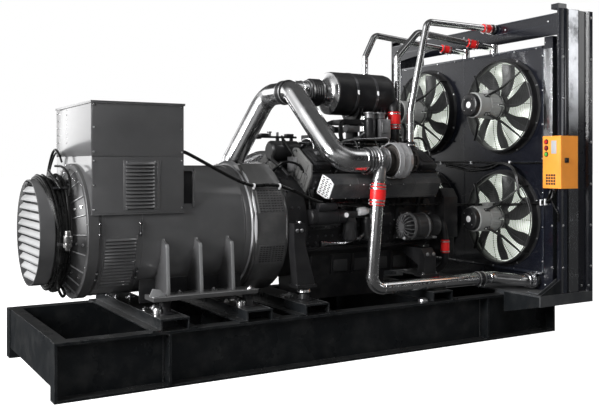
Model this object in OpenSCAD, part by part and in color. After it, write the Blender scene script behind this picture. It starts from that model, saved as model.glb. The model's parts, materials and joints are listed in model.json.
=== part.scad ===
// Open diesel generating set: an air-cooled alternator and a twelve-cylinder vee
// engine in line on a welded steel base frame, with a tall radiator that four
// electric axial fans cool. X runs along the set from the alternator's air inlet
// to the radiator, Y runs away from the control box side, and Z is up.
// Inside each module, X is measured from the base's alternator end and Y from
// the shaft's vertical plane; on_frame() moves the result to the common origin.

/* [Base frame] */
// Length of the base frame
base_l = 4100; // [4100:50:5000]
// Width over the two main beams
base_w = 1400; // [1300:20:1700]
// Height of the main beams
base_h = 350; // [290:10:420]
// Width of a beam's flanges
flange_w = 100; // [80:5:120]
// Thickness of the beam's web and flanges
beam_t = 16; // [10:1:20]
// Height of the end cross-members
cross_h = 275; // [200:5:290]
// Width of a mounting bearer's top
bearer_w = 190; // [160:5:220]
// Height of a mounting bearer
bearer_h = 74; // [60:2:100]
// Thickness of the bearer plate
bearer_t = 10; // [6:1:14]

/* [Alternator] */
// Height of the shaft above the ground
shaft_z = 940; // [900:10:1100]
// Radius of the stator housing
stator_r = 436; // [400:2:450]
// Place of the stator housing's back end
stator_x = 360; // [340:5:380]
// Length of the stator housing
stator_l = 1050; // [1000:10:1300]
// Radius of the slatted air inlet
inlet_r = 345; // [300:5:360]
// Length of the air inlet drum
inlet_l = 92; // [70:2:110]
// Length of the terminal box
tbox_l = 612; // [540:4:660]
// Width of the terminal box
tbox_w = 872; // [840:4:880]
// Height of the terminal box's lower part above the shaft
tbox_z = 130; // [120:5:160]
// Height of the terminal box's lower part
tbox_low_h = 363; // [330:3:400]
// Height of the terminal box's upper part
tbox_up_h = 345; // [300:5:400]

/* [Engine] */
// Length of the cylinder block
block_l = 1250; // [1150:10:1300]
// Angle between a cylinder bank and the vertical
bank_a = 32; // [30:1:34]
// Number of cylinders in a bank
bank_n = 6; // [4:1:6]
// Radius of the drive housing between alternator and engine
drive_r = 470; // [455:5:490]
// Radius of the air filter
filter_r = 170; // [150:5:190]
// Length of the air filter's black body
filter_l = 572; // [500:1:600]
// Outside radius of the intake pipes
intake_r = 86; // [70:2:90]
// Outside radius of the charge air pipes
charge_r = 48; // [40:2:52]
// Gap between a turbocharger and the rocker covers
turbo_gap = 15; // [12:1:30]

/* [Radiator] */
// Width of the radiator over its side panels
rad_w = 2166; // [2100:10:2400]
// Height of the radiator's top above the ground
rad_top = 2590; // [2500:10:2700]
// Depth of the radiator frame
rad_d = 364; // [340:4:400]
// Width of the fan panel
panel_w = 1830; // [1780:10:1900]
// Height of the fan panel's top above the ground
panel_top = 2320; // [2300:10:2380]
// Height of the fan panel's lower edge above the ground
panel_low = 516; // [510:2:530]
// Radius over the fan blades
fan_r = 352; // [300:2:360]
// Gap between the blade tips and the fan ring
tip_gap = 8; // [6:1:12]
// Distance between the fan centres across the radiator
fan_pitch_y = 980; // [900:10:990]
// Distance between the fan centres up the radiator
fan_pitch_z = 920; // [860:10:930]
// Number of blades on a fan
blade_n = 7; // [5:1:9]

/* [Control box] */
// Width of the control box across the radiator
box_w = 183; // [160:1:200]
// Length of the control box along the set
box_l = 190; // [170:2:200]
// Height of the control box
box_h = 405; // [360:5:440]
// How far the control box stands out of the radiator frame
box_out = 48; // [36:2:60]

/* [Hidden] */
$fn = 64;

// Clearance between pieces that are fitted side by side
fit = 0.3;
// Running clearance of a shaft in its bearing
run = 0.05;

// --- Where the main pieces lie
bearer_top = base_h + bearer_h;
bearer_x = [745, 1338, 1785, 2900];
stator_end = stator_x + stator_l;
drive_l = 270;
flywheel_l = 200;
flywheel_r = 400;
block_x = stator_end + drive_l + flywheel_l;
block_end = block_x + block_l;
rad_x = base_l - rad_d;
shelf_top = base_h + 36;
shelf_t = 12;
shelf_l = 580;
shelf_x = base_l - shelf_l;
panel_t = 8;
panel_d = 58;
core_x = rad_x + panel_d + 4;
core_d = 210;
fan_z = (panel_top + panel_low) / 2 - 14;
ring_in = fan_r + tip_gap;
ring_out = ring_in + 28;
ring_d = 74;
fan_centres = [
    [-fan_pitch_y / 2, fan_z + fan_pitch_z / 2], [fan_pitch_y / 2, fan_z + fan_pitch_z / 2],
    [-fan_pitch_y / 2, fan_z - fan_pitch_z / 2], [fan_pitch_y / 2, fan_z - fan_pitch_z / 2]
];
box_x = rad_x - box_out;
box_y = -rad_w / 2 - box_out;
box_z = 1198;
door_t = 12;
lock_t = 9;

// The common origin: middle of the whole set's outline, on the ground
y_near = box_y - lock_t;
y_far = rad_w / 2;
module on_frame() {
    translate([-base_l / 2, -(y_near + y_far) / 2, 0]) children();
}

// --- Vectors and pipes
function unit(v) = v / norm(v);
function bend_cut(p, i, r) =
    (i == 0 || i == len(p) - 1) ? 0 :
    let (a = acos(min(1, max(-1, unit(p[i] - p[i - 1]) * unit(p[i + 1] - p[i])))))
    r * tan(a / 2);

// How far a weld bead stands out of its pipe
bead = 1.5;

// A straight round bar from a to b
module bar(a, b, r) {
    v = b - a;
    translate(a)
    rotate([0, acos(v[2] / norm(v)), atan2(v[1], v[0])])
    cylinder(r = r, h = norm(v));
}

// A quarter-like elbow at corner b on the way from a to c
module elbow(a, b, c, r, bend) {
    d0 = unit(b - a);
    d1 = unit(c - b);
    turn = acos(d0 * d1);
    n = unit(d1 - (d1 * d0) * d0);
    s = cross(-n, d0);
    m = b - d0 * bend * tan(turn / 2) + n * bend;
    multmatrix([
        [-n[0], d0[0], s[0], m[0]],
        [-n[1], d0[1], s[1], m[1]],
        [-n[2], d0[2], s[2], m[2]]
    ])
    rotate_extrude(angle = turn) translate([bend, 0]) circle(r);
}

// A round pipe along the corners p, with an elbow at each inner corner
module pipe(p, r, bend) {
    for (i = [0 : len(p) - 2]) {
        d = unit(p[i + 1] - p[i]);
        bar(p[i] + d * bend_cut(p, i, bend), p[i + 1] - d * bend_cut(p, i + 1, bend), r);
    }
    for (i = [1 : 1 : len(p) - 2]) {
        elbow(p[i - 1], p[i], p[i + 1], r, bend);
        weld(p[i], p[i - 1], bend_cut(p, i, bend), r);
        weld(p[i], p[i + 1], bend_cut(p, i, bend), r);
    }
}

// The weld bead that joins an elbow to the straight run from corner b towards a
module weld(b, a, cut, r) {
    d = unit(a - b);
    bar(b + d * (cut - 3), b + d * (cut + 3), r + bead);
}

// A collar on the straight run from a to b, from start on, l long
module collar(a, b, start, r, l) {
    d = unit(b - a);
    bar(a + d * start, a + d * (start + l), r);
}

// A plate cut from an outline in Y and Z, from x on, l long
module along_x(x, l) {
    translate([x, 0, 0]) rotate([90, 0, 90]) linear_extrude(l) children();
}

// A solid of revolution about the X axis through [y, z], from x on
module turned_x(x, y, z) {
    translate([x, y, z]) rotate([0, 90, 0]) rotate_extrude() children();
}

// Both sides of the set
module both_sides() {
    for (s = [0, 1]) mirror([0, s, 0]) children();
}

// --- Base frame

// One beam on the near side: a channel that opens outwards, stiffened by plates
module beam_shape() {
    w = base_w / 2;
    translate([0, -w, 0]) {
        cube([base_l, flange_w, beam_t]);
        translate([0, 0, base_h - beam_t]) cube([base_l, flange_w, beam_t]);
        translate([0, flange_w - beam_t, 0]) cube([base_l, beam_t, base_h]);
        for (x = [0, 700, base_l - 750, base_l - beam_t])
            translate([x, 0, 0]) cube([beam_t, flange_w, base_h]);
    }
}
module base_beam_near() {
    color("#1b1c20") on_frame() beam_shape();
}
module base_beam_far() {
    color("#1b1c20") on_frame() mirror([0, 1, 0]) beam_shape();
}

// A channel that runs between the beams and opens along the set
module cross_channel(x, dir) {
    w = base_w / 2 - flange_w - fit;
    foot = base_h - cross_h;
    face = dir > 0 ? x : x - beam_t;
    back = dir > 0 ? x : x - 82;
    translate([face, -w, foot]) cube([beam_t, 2 * w, cross_h]);
    for (z = [foot, base_h - beam_t])
        translate([back, -w, z]) cube([82, 2 * w, beam_t]);
}
module base_cross_members() {
    color("#1b1c20") on_frame() {
        cross_channel(8, 1);
        cross_channel(1480, 1);
        cross_channel(2780, 1);
        cross_channel(base_l - 8, -1);
    }
}

// A hat-section bearer across both beams
module hat_bearer(x) {
    w = base_w / 2 - 6;
    lip = 55;
    translate([x - bearer_w / 2, -w, base_h]) {
        translate([0, 0, bearer_h - bearer_t]) cube([bearer_w, 2 * w, bearer_t]);
        for (s = [0, bearer_w - bearer_t]) translate([s, 0, 0]) cube([bearer_t, 2 * w, bearer_h]);
        translate([-lip, 0, 0]) cube([lip + 1, 2 * w, bearer_t]);
        translate([bearer_w - 1, 0, 0]) cube([lip + 1, 2 * w, bearer_t]);
    }
}
module mounting_bearers() {
    color("#232429") on_frame() for (x = bearer_x) hat_bearer(x);
}

// Rubber mounts between the bearers and the feet, with their clamping nuts
mount_y = base_w / 2 - 190;
foot_z = 515;
module rubber_mount(x) {
    h = foot_z - bearer_top;
    for (s = [-1, 1]) turned_z(x, s * mount_y, bearer_top)
        polygon([[0, 0], [62, 0], [62, 8], [40, 14], [34, h / 2], [40, h - 14], [46, h - 8],
            [46, h], [0, h]]);
}
module turned_z(x, y, z) {
    translate([x, y, z]) rotate_extrude() children();
}
module vibration_mounts() {
    color("#9a9c9f") on_frame() for (x = bearer_x) rubber_mount(x);
}

// The shelf that carries the radiator, with turned-down edges
shelf_lip = 84;
module radiator_shelf() {
    color("#1b1c20") on_frame() {
        translate([shelf_x, -rad_w / 2, shelf_top - shelf_t]) cube([shelf_l, rad_w, shelf_t]);
        for (y = [-rad_w / 2, rad_w / 2 - shelf_t])
            translate([shelf_x, y, shelf_top - shelf_lip]) cube([shelf_l, shelf_t, shelf_lip]);
        // Packing bars between the shelf and the beams
        for (y = [-base_w / 2, base_w / 2 - flange_w])
            translate([shelf_x, y, base_h]) cube([shelf_l, flange_w, shelf_top - shelf_t - base_h]);
    }
}

// Tapered plates under the shelf's overhang, and gussets from the shelf to the frame
module bracket_plate(x) {
    reach = (rad_w - base_w) / 2;
    translate([x, -base_w / 2, 0]) rotate([90, 0, 90]) linear_extrude(shelf_t)
        polygon([[-fit, shelf_top - shelf_t], [-fit, shelf_top - 170],
            [-reach + shelf_t, shelf_top - shelf_lip], [-reach + shelf_t, shelf_top - shelf_t]]);
}
module shelf_brackets() {
    color("#1d1e23") on_frame() both_sides() {
        bracket_plate(shelf_x);
        bracket_plate(base_l - shelf_t);
        translate([0, -rad_w / 2 + 10, 0]) rotate([90, 0, 0]) linear_extrude(8)
            polygon([[shelf_x + 4, shelf_top], [rad_x, shelf_top], [rad_x, shelf_top + 112]]);
    }
}

// --- Alternator

module stator_housing() {
    color("#3c3d40") on_frame() turned_x(stator_x, 0, shaft_z)
        polygon([[0, 0], [stator_r, 0], [stator_r, stator_l - 40], [stator_r - 12, stator_l - 40],
            [stator_r - 12, stator_l], [0, stator_l]]);
}

// Two foot rails, each under three tapered ribs
rail_y = 420;
rail_w = 165;
rail_t = 30;
rib_x = [760, 990, 1220];
web_y = 305;
module alternator_feet() {
    color("#55575a") on_frame() both_sides() {
        translate([640, -rail_y - rail_w, foot_z]) cube([740, rail_w, rail_t]);
        for (x = rib_x) difference() {
            along_x(x - 12, 24) polygon([[-web_y, foot_z + rail_t], [-rail_y - 116, foot_z + rail_t],
                [-rail_y - 116, shaft_z - 72], [-stator_r - 24, shaft_z - 50], [-web_y, shaft_z - 50]]);
            turned_x(x - 20, 0, shaft_z) square([stator_r + fit, 40]);
        }
        // The web that closes the space under the housing
        translate([640, -web_y - 12, foot_z - 45]) cube([740, 12, 155]);
    }
}

// The bolted end bell: two rings on the housing and a neck that carries the inlet drum
neck_r = 322;
bell_x = 205;
module rear_bell() {
    color("#454649") on_frame() turned_x(0, 0, shaft_z)
        polygon([[0, inlet_l + fit], [neck_r, inlet_l + fit], [neck_r, bell_x],
            [stator_r - 16, bell_x], [stator_r - 6, bell_x + 12], [stator_r - 6, bell_x + 66],
            [stator_r + 12, bell_x + 66], [stator_r + 12, stator_x - 18], [stator_r, stator_x - 18],
            [stator_r, stator_x - fit], [0, stator_x - fit]]);
}
lip_t = 8;
module air_inlet_drum() {
    color("#2b2c2f") on_frame() turned_x(0, 0, shaft_z) polygon([[inlet_r - lip_t, 0], [inlet_r, 2],
        [inlet_r, inlet_l], [0, inlet_l], [0, inlet_l - 12], [inlet_r - lip_t, inlet_l - 12]]);
}

// Level slats across the round inlet, sloped to keep rain out
slat_n = 11;
slat_x = 18;
module inlet_slats() {
    pitch = 2 * (inlet_r - lip_t) / (slat_n + 1);
    color("#b9bbbd") on_frame() for (i = [1 : slat_n]) {
        h = -inlet_r + lip_t + i * pitch;
        w = sqrt(pow(inlet_r - lip_t - fit, 2) - pow(max(h + 16.2, 13.4 - h), 2));
        translate([slat_x, -w, shaft_z + h]) rotate([0, 42, 0]) translate([-2, 0, -16]) cube([4, 2 * w, 36]);
    }
}

// The output cables, wound round the neck
cable_r = 17;
coil_turns = 3;
coil_out = neck_r + 2 * fit + 3.72 * cable_r;
module cable_coil() {
    color("#141416") on_frame() turned_x(0, 0, shaft_z)
        for (i = [0 : coil_turns - 1], j = [0 : 1])
            translate([neck_r + fit + cable_r + j * 1.72 * cable_r, bell_x - 2 - cable_r - (i + j / 2) * 1.6 * cable_r])
                circle(cable_r);
}
module cable_connector() {
    y = -coil_out - 27;
    color("#b7a27a") on_frame() {
        turned_z(150, y, shaft_z - 90) polygon([[0, 0], [24, 0], [24, 40], [27, 44], [27, 92],
            [20, 96], [20, 130], [0, 130]]);
    }
}

tbox_x = 292;
tbox_low_z = shaft_z + tbox_z;
seam = 4;
module terminal_box_lower() {
    color("#3f4043") on_frame() difference() {
        translate([tbox_x, -tbox_w / 2, tbox_low_z]) cube([tbox_l, tbox_w, tbox_low_h - seam / 2]);
        turned_x(0, 0, shaft_z) square([stator_r + 12 + fit, stator_x + fit]);
        turned_x(0, 0, shaft_z) square([stator_r + fit, base_l]);
    }
}
module terminal_box_upper() {
    color("#3f4043") on_frame() translate([tbox_x, -tbox_w / 2, tbox_low_z + tbox_low_h - seam / 2])
        cube([tbox_l, tbox_w, tbox_up_h]);
}
module terminal_box_lid() {
    z = tbox_low_z + tbox_low_h - seam / 2 + tbox_up_h;
    color("#4a4b4e") on_frame() translate([tbox_x - 8, -tbox_w / 2 - 8, z]) cube([tbox_l + 16, tbox_w + 16, 6]);
}

// A louvre panel: a frame plate with a row of sloped slats
module louvre(w, h, n) {
    cube([w, 4, h]);
    for (i = [0 : n - 1]) translate([16, 0, 34 + i * (h - 60) / n])
        rotate([0, 90, 0]) linear_extrude(w - 32) polygon([[0, 0], [-14, 0], [0, -12]]);
}
module box_louvre() {
    color("#46474a") on_frame() translate([490, -tbox_w / 2 - 4, tbox_low_z + 18]) louvre(252, 320, 12);
}

// The stator's lower air outlet: a curved slatted cover on both sides
outlet_x = 364;
outlet_l = 230;
module stator_louvre() {
    n = 13;
    color("#3a3b3e") on_frame() both_sides() {
        arc_plate(outlet_x, outlet_l, stator_r + fit, 6, 93, 50);
        for (i = [0 : n - 1]) arc_plate(outlet_x + 14, outlet_l - 28, stator_r + 5, 9, 96 + i * 3.5, 1.6);
    }
}

// Part of a shell about the shaft: from angle a down from the top, for span degrees
module arc_plate(x, l, r, t, a, span) {
    translate([x, 0, shaft_z]) rotate([0, 90, 0]) rotate([0, 0, 180 + a])
        rotate_extrude(angle = span) translate([r, 0]) square([t, l]);
}

// The drive housing with its two flanges and two open windows under slotted screens
module drive_housing() {
    l = drive_l - 2 * fit;
    color("#333437") on_frame() turned_x(stator_end + fit, 0, shaft_z - 10)
        polygon([[0, 0], [drive_r, 0], [drive_r, 26], [drive_r - 22, 26], [drive_r - 30, l - 60],
            [drive_r + 6, l - 60], [drive_r + 6, l], [0, l]]);
}

// --- Engine

// A place on the near bank: b along the bank from the shaft, n outwards from its middle
function bank(b, n) = [-(b * sin(bank_a) + n * cos(bank_a)), shaft_z + b * cos(bank_a) - n * sin(bank_a)];
deck = 380;
valley_z = shaft_z + deck - 40;
valley_n = -165;
manifold_x = 2050;
head_h = 150;
cover_h = 78;

// Half width of the block's slanted flank at height z
function block_side(z) = 255 + (z - shaft_z + 180) * (330 - 255) / 140;

module engine_block() {
    half = [[0, shaft_z - 180], [-255, shaft_z - 180], [-330, shaft_z - 40], bank(deck - 60, 178),
        bank(deck, 178), bank(deck, valley_n), [0, valley_z]];
    color("#1f2023") on_frame() {
        both_sides() along_x(block_x, block_l) polygon(half);
        // The flywheel housing at the block's back
        turned_x(stator_end + drive_l + fit, 0, shaft_z - 10) square([flywheel_r, flywheel_l + 1 - fit]);
    }
}
module oil_sump() {
    z = shaft_z - 180 - fit;
    color("#1c1d20") on_frame() along_x(block_x + 40, block_l - 90)
        polygon([[-250, z], [-262, z - 24], [-215, z - 60], [-190, z - 225], [190, z - 225],
            [215, z - 60], [262, z - 24], [250, z]]);
    // The deep part hangs between the bearers
    color("#1c1d20") on_frame() along_x(block_x + 80, 760)
        polygon([[-192, z - 200], [-170, base_h + 12], [170, base_h + 12], [192, z - 200]]);
}

head_pitch = (block_l - 50) / bank_n;
module cylinder_heads() {
    color("#26272a") on_frame() both_sides() for (i = [0 : bank_n - 1])
        along_x(block_x + 25 + i * head_pitch + 5, head_pitch - 10)
            polygon([bank(deck + fit, 172), bank(deck + head_h, 172), bank(deck + head_h, -150),
                bank(deck + fit, -150)]);
}
module rocker_covers() {
    color("#1b1c1e") on_frame() both_sides() for (i = [0 : bank_n - 1])
        along_x(block_x + 25 + i * head_pitch + 18, head_pitch - 36)
            polygon([bank(deck + head_h + fit, 130), bank(deck + head_h + cover_h - 22, 130),
                bank(deck + head_h + cover_h, 108), bank(deck + head_h + cover_h, -92),
                bank(deck + head_h + cover_h - 22, -114), bank(deck + head_h + fit, -114)]);
}

// Legs from the drive housing and the block down to the bearers
module leg(x, y, top) {
    translate([x - 80, -y - 50, foot_z]) cube([160, 110, 22]);
    along_x(x - 55, 110) polygon([[-y - 40, foot_z + 21], [-y - 40, top - 60], [-y + 6, top],
        [-y + 46, top], [-y + 46, foot_z + 21]]);
}
// The rear legs carry a block that is bolted to the flywheel housing
module rear_leg(x, foot, y, top) {
    translate([foot - 80, -y - 50, foot_z]) cube([160, 110, 22]);
    translate([0, -y + 46, 0]) rotate([90, 0, 0]) linear_extrude(86) polygon([[foot - 74, foot_z + 21],
        [foot + 70, foot_z + 21], [foot + 12, top - 230], [x + 90, top - 140], [x + 90, top], [x, top],
        [x, top - 140]]);
    translate([x, -y - 36, top - 140]) cube([90, y - 280, 140]);
}
module engine_supports() {
    color("#1a1b1d") on_frame() both_sides() {
        difference() {
            rear_leg(stator_end + drive_l + 4, bearer_x[2], mount_y - 6, shaft_z + 30);
            turned_x(0, 0, shaft_z - 10) square([flywheel_r + fit, base_l]);
        }
        leg(bearer_x[3], mount_y - 6, 735);
        along_x(bearer_x[3] - 55, 110) polygon([[-mount_y + 20, 590], [-mount_y + 20, 735],
            [-262 - fit, 735], [-262 - fit, 690]]);
    }
}

// Insulated covers over the exhaust manifolds, with perforated end plates
shield_x = block_x + 90;
shield_l = 1045;
shield_in = 196;
shield_out = 300;
shield_low = deck + 20;
shield_top = deck + 184;
module exhaust_shields() {
    color("#3a3b3d") on_frame() both_sides() along_x(shield_x, shield_l)
        polygon([bank(shield_low, shield_in), bank(shield_top, shield_in), bank(shield_top, shield_out - 40),
            bank(shield_top - 24, shield_out), bank(shield_low + 10, shield_out), bank(shield_low, shield_out - 30)]);
}
module shield_end_plates() {
    color("#e4e5e6") on_frame() both_sides() along_x(shield_x - 6 - fit, 6)
        polygon([bank(shield_low + 2, shield_in), bank(shield_top, shield_in),
            bank(shield_top, shield_out - 40), bank(shield_top - 24, shield_out), bank(shield_low + 2, shield_out - 6)]);
}

// A turbocharger: the compressor's inlet faces the alternator, the turbine the radiator
turbo_x = 2296;
turbo_z = shaft_z + 472;
turbo_r = 120;
turbo_y = (deck + head_h + cover_h - 22) * sin(bank_a) + 130 * cos(bank_a) + turbo_gap + turbo_r;
charge_z = bearer_top + charge_r + 6;
charge_start = [turbo_x + 64, -turbo_y - 56, turbo_z - turbo_r - 30];
charge_foot = [turbo_x - 5, -turbo_y - 56, charge_z];
module turbochargers() {
    color("#3b3c3f") on_frame() both_sides() {
        turned_x(turbo_x, -turbo_y, turbo_z)
            polygon([[0, 0], [intake_r + 2, 0], [intake_r + 2, 34], [98, 40], [turbo_r - 8, 58], [turbo_r, 78],
                [turbo_r, 140], [turbo_r - 14, 160], [74, 168], [74, 214], [108, 222], [123.6, 250], [123.6, 330],
                [104, 356], [70, 366], [70, 402], [86, 402], [86, 420], [0, 420]]);
        // Compressor outlet, turned down towards the charge air pipe
        bar(charge_start, charge_start - unit(charge_foot - charge_start) * 110, charge_r);
        // Turbine foot on the exhaust manifold
        along_x(turbo_x + 255, 70) polygon([[-turbo_y - 40, turbo_z - 80], [-turbo_y + 60, turbo_z - 80],
            bank(shield_top + fit, shield_in + 10), bank(shield_top + fit, shield_out - 50)]);
    }
}
module turbine_shields() {
    color("#85878a") on_frame() both_sides() translate([turbo_x + 206, -turbo_y, turbo_z]) rotate([0, 90, 0])
        rotate([0, 0, 52]) rotate_extrude(angle = 248) translate([124, 0]) square([14, 122]);
}

module intake_manifold() {
    z = shaft_z + deck + 48;
    v = bank(deck, valley_n);
    root_z = valley_z + 52 * (v[1] - valley_z) / abs(v[0]) + 2 * fit;
    half = [[0, valley_z + 2 * fit], [-52, root_z], [-60, z], [-95, z + 40], [-95, z + 130], [-70, z + 160],
        [0, z + 160]];
    color("#1d1e20") on_frame() both_sides() along_x(manifold_x, block_end - 60 - manifold_x) polygon(half);
}

filter_x = 2312;
filter_z = 1948;
module air_filter() {
    r = filter_r;
    color("#1a1b1c") on_frame() turned_x(filter_x, 0, filter_z)
        polygon([[0, 0], [r - 6, 0], [r, 8], [r, filter_l - 60], [r - 14, filter_l - 22], [r - 46, filter_l], [0, filter_l]]);
}
// Two saddles that hold the filter over the intake manifold
module filter_cradle() {
    z = shaft_z + deck + 208 + fit;
    color("#27282a") on_frame() for (x = [filter_x + 203, filter_x + 423]) difference() {
        along_x(x, 46) polygon([[-90, z], [90, z], [150, filter_z - 110], [-150, filter_z - 110]]);
        turned_x(x - 10, 0, filter_z) square([filter_r + fit, 80]);
    }
}
// The chrome outlet cone and the pleated hose to the pipe tee
tee_x = 1990;
tee_half = 96;
module filter_outlet() {
    l = filter_x - tee_x - tee_half;
    color("#202123") on_frame() turned_x(tee_x + tee_half, 0, filter_z)
        polygon([[0, fit], [intake_r + 8, fit], [intake_r + 8, 30],
            for (i = [0 : 4]) each [[intake_r + 6, 34 + i * 22], [intake_r + 22, 44 + i * 22], [intake_r + 6, 54 + i * 22]],
            [intake_r + 8, l - 76], [filter_r - 20, l - 12], [filter_r - 20, l - fit], [0, l - fit]]);
}

// Polished intake pipes from the tee to the turbochargers
module intake_pipe_near() {
    tee = [tee_x, 0, filter_z];
    corner = [2040, -turbo_y, turbo_z];
    color("#c9cbce") on_frame() {
        pipe([tee + [0, tee_half, 0], tee, corner, [turbo_x - fit, -turbo_y, turbo_z]], intake_r, 150);
        bar(tee, tee + [tee_half, 0, 0], intake_r);
    }
}
module intake_pipe_far() {
    tee = [tee_x, tee_half + fit, filter_z];
    color("#c9cbce") on_frame()
        pipe([tee, [tee_x, 430, filter_z], [1655, turbo_y, 1270], [1990, turbo_y, turbo_z],
            [turbo_x - fit, turbo_y, turbo_z]], intake_r, 130);
}

// Charge air pipes: down from the compressor, along the base and into the radiator
module charge_pipe() {
    hose_l = 170;
    p = [charge_start + unit(charge_foot - charge_start) * fit, charge_foot, [rad_x - 260, charge_foot[1], charge_z],
        [rad_x - 80, charge_foot[1] - 186, charge_z - 14], [rad_x + 34 - fit, charge_foot[1] - 186, charge_z - 14]];
    pipe(p, charge_r, 75);
    collar(p[0], p[1], 20, charge_r + 8, hose_l);
    collar(p[1], p[2], norm(p[2] - p[1]) - 170, charge_r + 7, 84);
}
module charge_pipe_near() {
    color("#b9bbbd") on_frame() charge_pipe();
}
module charge_pipe_far() {
    color("#b9bbbd") on_frame() mirror([0, 1, 0]) charge_pipe();
}

// The belt-driven charging unit on the near side, on its arm
unit_y = -462;
unit_z = 905;
module charging_unit() {
    color("#2f3032") on_frame() {
        turned_x(block_x + 800, unit_y, unit_z)
            polygon([[0, 0], [70, 0], [98, 20], [106, 52], [106, 200], [92, 210], [92, 240], [84, 250], [84, 330],
                [54, 340], [54, 372], [0, 372]]);
        along_x(block_x + 850, 140) polygon([[unit_y + 90, unit_z - 70], [unit_y + 90, unit_z - 20],
            [-block_side(unit_z - 20) - fit, unit_z - 20], [-block_side(unit_z - 70) - fit, unit_z - 70]]);
    }
}

// The timing cover, the damper on the crankshaft and the belt
module front_cover() {
    color("#1f2022") on_frame() along_x(block_end + fit, 120)
        polygon([[-240, shaft_z - 170], [-300, shaft_z - 20], [-250, shaft_z + 250], [-120, shaft_z + 380],
            [120, shaft_z + 380], [250, shaft_z + 250], [300, shaft_z - 20], [240, shaft_z - 170]]);
}
module crank_pulley() {
    color("#18191a") on_frame() {
        turned_x(block_end + 120 + 2 * fit, 0, shaft_z - 30)
            polygon([[0, 0], [70, 0], [70, 20], [205, 20], [205, 70], [190, 74], [190, 90], [80, 90], [80, 100], [0, 100]]);
    }
}
module breather() {
    color("#161718") on_frame() {
        turned_x(1775, 0, 1486) polygon([[0, 0], [66, 0], [80, 14], [80, 236], [66, 250], [0, 250]]);
        translate([1665, -18, 1578]) cube([350, 36, 24]);
        for (p = [[1838, shaft_z - 10 + flywheel_r], [1960, valley_z + 14]])
            translate([p[0], -12, p[1] + fit]) cube([24, 24, 1579 - p[1]]);
    }
}

// --- Radiator

beam_low = 2384;

// A side panel of folded sheet, seen from above, for the near side
module side_outline() {
    y = -rad_w / 2;
    t = 8;
    step = 20;
    polygon([[rad_x, y + step], [rad_x + 26, y], [rad_x + 78, y], [rad_x + 84, y + step], [rad_x + 208, y + 2],
        [rad_x + 216, y + step], [rad_x + 306, y + step], [rad_x + 316, y], [base_l, y], [base_l, y + 80],
        [base_l - t, y + 80], [base_l - t, y + step + t], [rad_x + t, y + step + t], [rad_x + t, y + 34],
        [rad_x, y + 34]]);
}
module side_panel() {
    translate([0, 0, shelf_top]) linear_extrude(rad_top - shelf_top) side_outline();
    // Corner post cap
    translate([rad_x, -rad_w / 2 + 20, rad_top - 1]) cube([90, 74, 40]);
    // Inner post beside the fan panel, flush with it in front of a recess
    translate([rad_x + 2, -panel_w / 2 - 88, shelf_top]) cube([60, 84, beam_low - fit - shelf_top]);
    for (z = [shelf_top, panel_top - 60, 1350])
        translate([rad_x + 50, -rad_w / 2 + 27, z]) cube([30, rad_w / 2 - panel_w / 2 - 100, 60]);
}
module radiator_side_near() {
    color("#22242b") on_frame() difference() {
        side_panel();
        translate([box_x - fit, box_y - fit, box_z - fit]) cube([box_l + 2 * fit, box_w + 2 * fit, box_h + 2 * fit]);
    }
}
module radiator_side_far() {
    color("#22242b") on_frame() mirror([0, 1, 0]) side_panel();
}

// The plate across the top, deeper at its ends
module radiator_top_beam() {
    w = rad_w / 2 - 34 - fit;
    rise = 56;
    color("#22242b") on_frame() {
        along_x(rad_x, 10) polygon([[-w, beam_low], [-w + 560, beam_low + rise], [w - 560, beam_low + rise],
            [w, beam_low],
            [w, rad_top - 34], [-w, rad_top - 34]]);
        translate([rad_x + 9, -w, rad_top - 44]) cube([50, 2 * w, 10]);
        translate([base_l - 10, -w + 46, rad_top - 130]) cube([10, 2 * w - 92, 96]);
    }
}
module bottom_tank() {
    color("#1c1d22") on_frame() translate([rad_x + 34, -panel_w / 2 + 4, shelf_top + fit])
        cube([250, panel_w - 8, panel_low - shelf_top - 2 * fit]);
}
module radiator_core() {
    color("#aeb4ab") on_frame() translate([core_x, -panel_w / 2 + 14, panel_low + fit])
        cube([core_d, panel_w - 28, panel_top - panel_low - 14]);
}
// Four plates, one behind each fan, that share a turned-back rim
ring_wide = 6;
module fan_panel() {
    w = panel_w / 2;
    color("#1e2027") on_frame() for (c = fan_centres) {
        y0 = c[0] < 0 ? -w : fit / 2;
        z0 = c[1] < fan_z ? panel_low : fan_z + fit / 2;
        h = (c[1] < fan_z ? fan_z - panel_low : panel_top - fan_z) - fit / 2;
        difference() {
            translate([rad_x, y0, z0]) cube([panel_d, w - fit / 2, h]);
            translate([rad_x + panel_t, c[0] < 0 ? -w + 10 : -1, c[1] < fan_z ? panel_low + 10 : panel_low])
                cube([panel_d, w - 9, c[1] < fan_z ? fan_z : panel_top - panel_low - 10]);
            turned_x(rad_x - 1, c[0], c[1]) square([ring_in + ring_wide, panel_t + 2]);
        }
    }
}
module fan_rings() {
    color("#17181a") on_frame() for (c = fan_centres) turned_x(rad_x - ring_d, c[0], c[1])
        polygon([[ring_in, 12], [ring_in + 6, 3], [ring_in + 14, 0], [ring_in + 16, 4], [ring_in + 8, 12],
            [ring_in + 8, ring_d - 26], [ring_in + ring_wide + 8, ring_d - 8], [ring_out, ring_d - 8],
            [ring_out, ring_d - fit], [ring_in + ring_wide, ring_d - fit], [ring_in + ring_wide, ring_d - 16],
            [ring_in, ring_d - 26]]);
}

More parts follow.
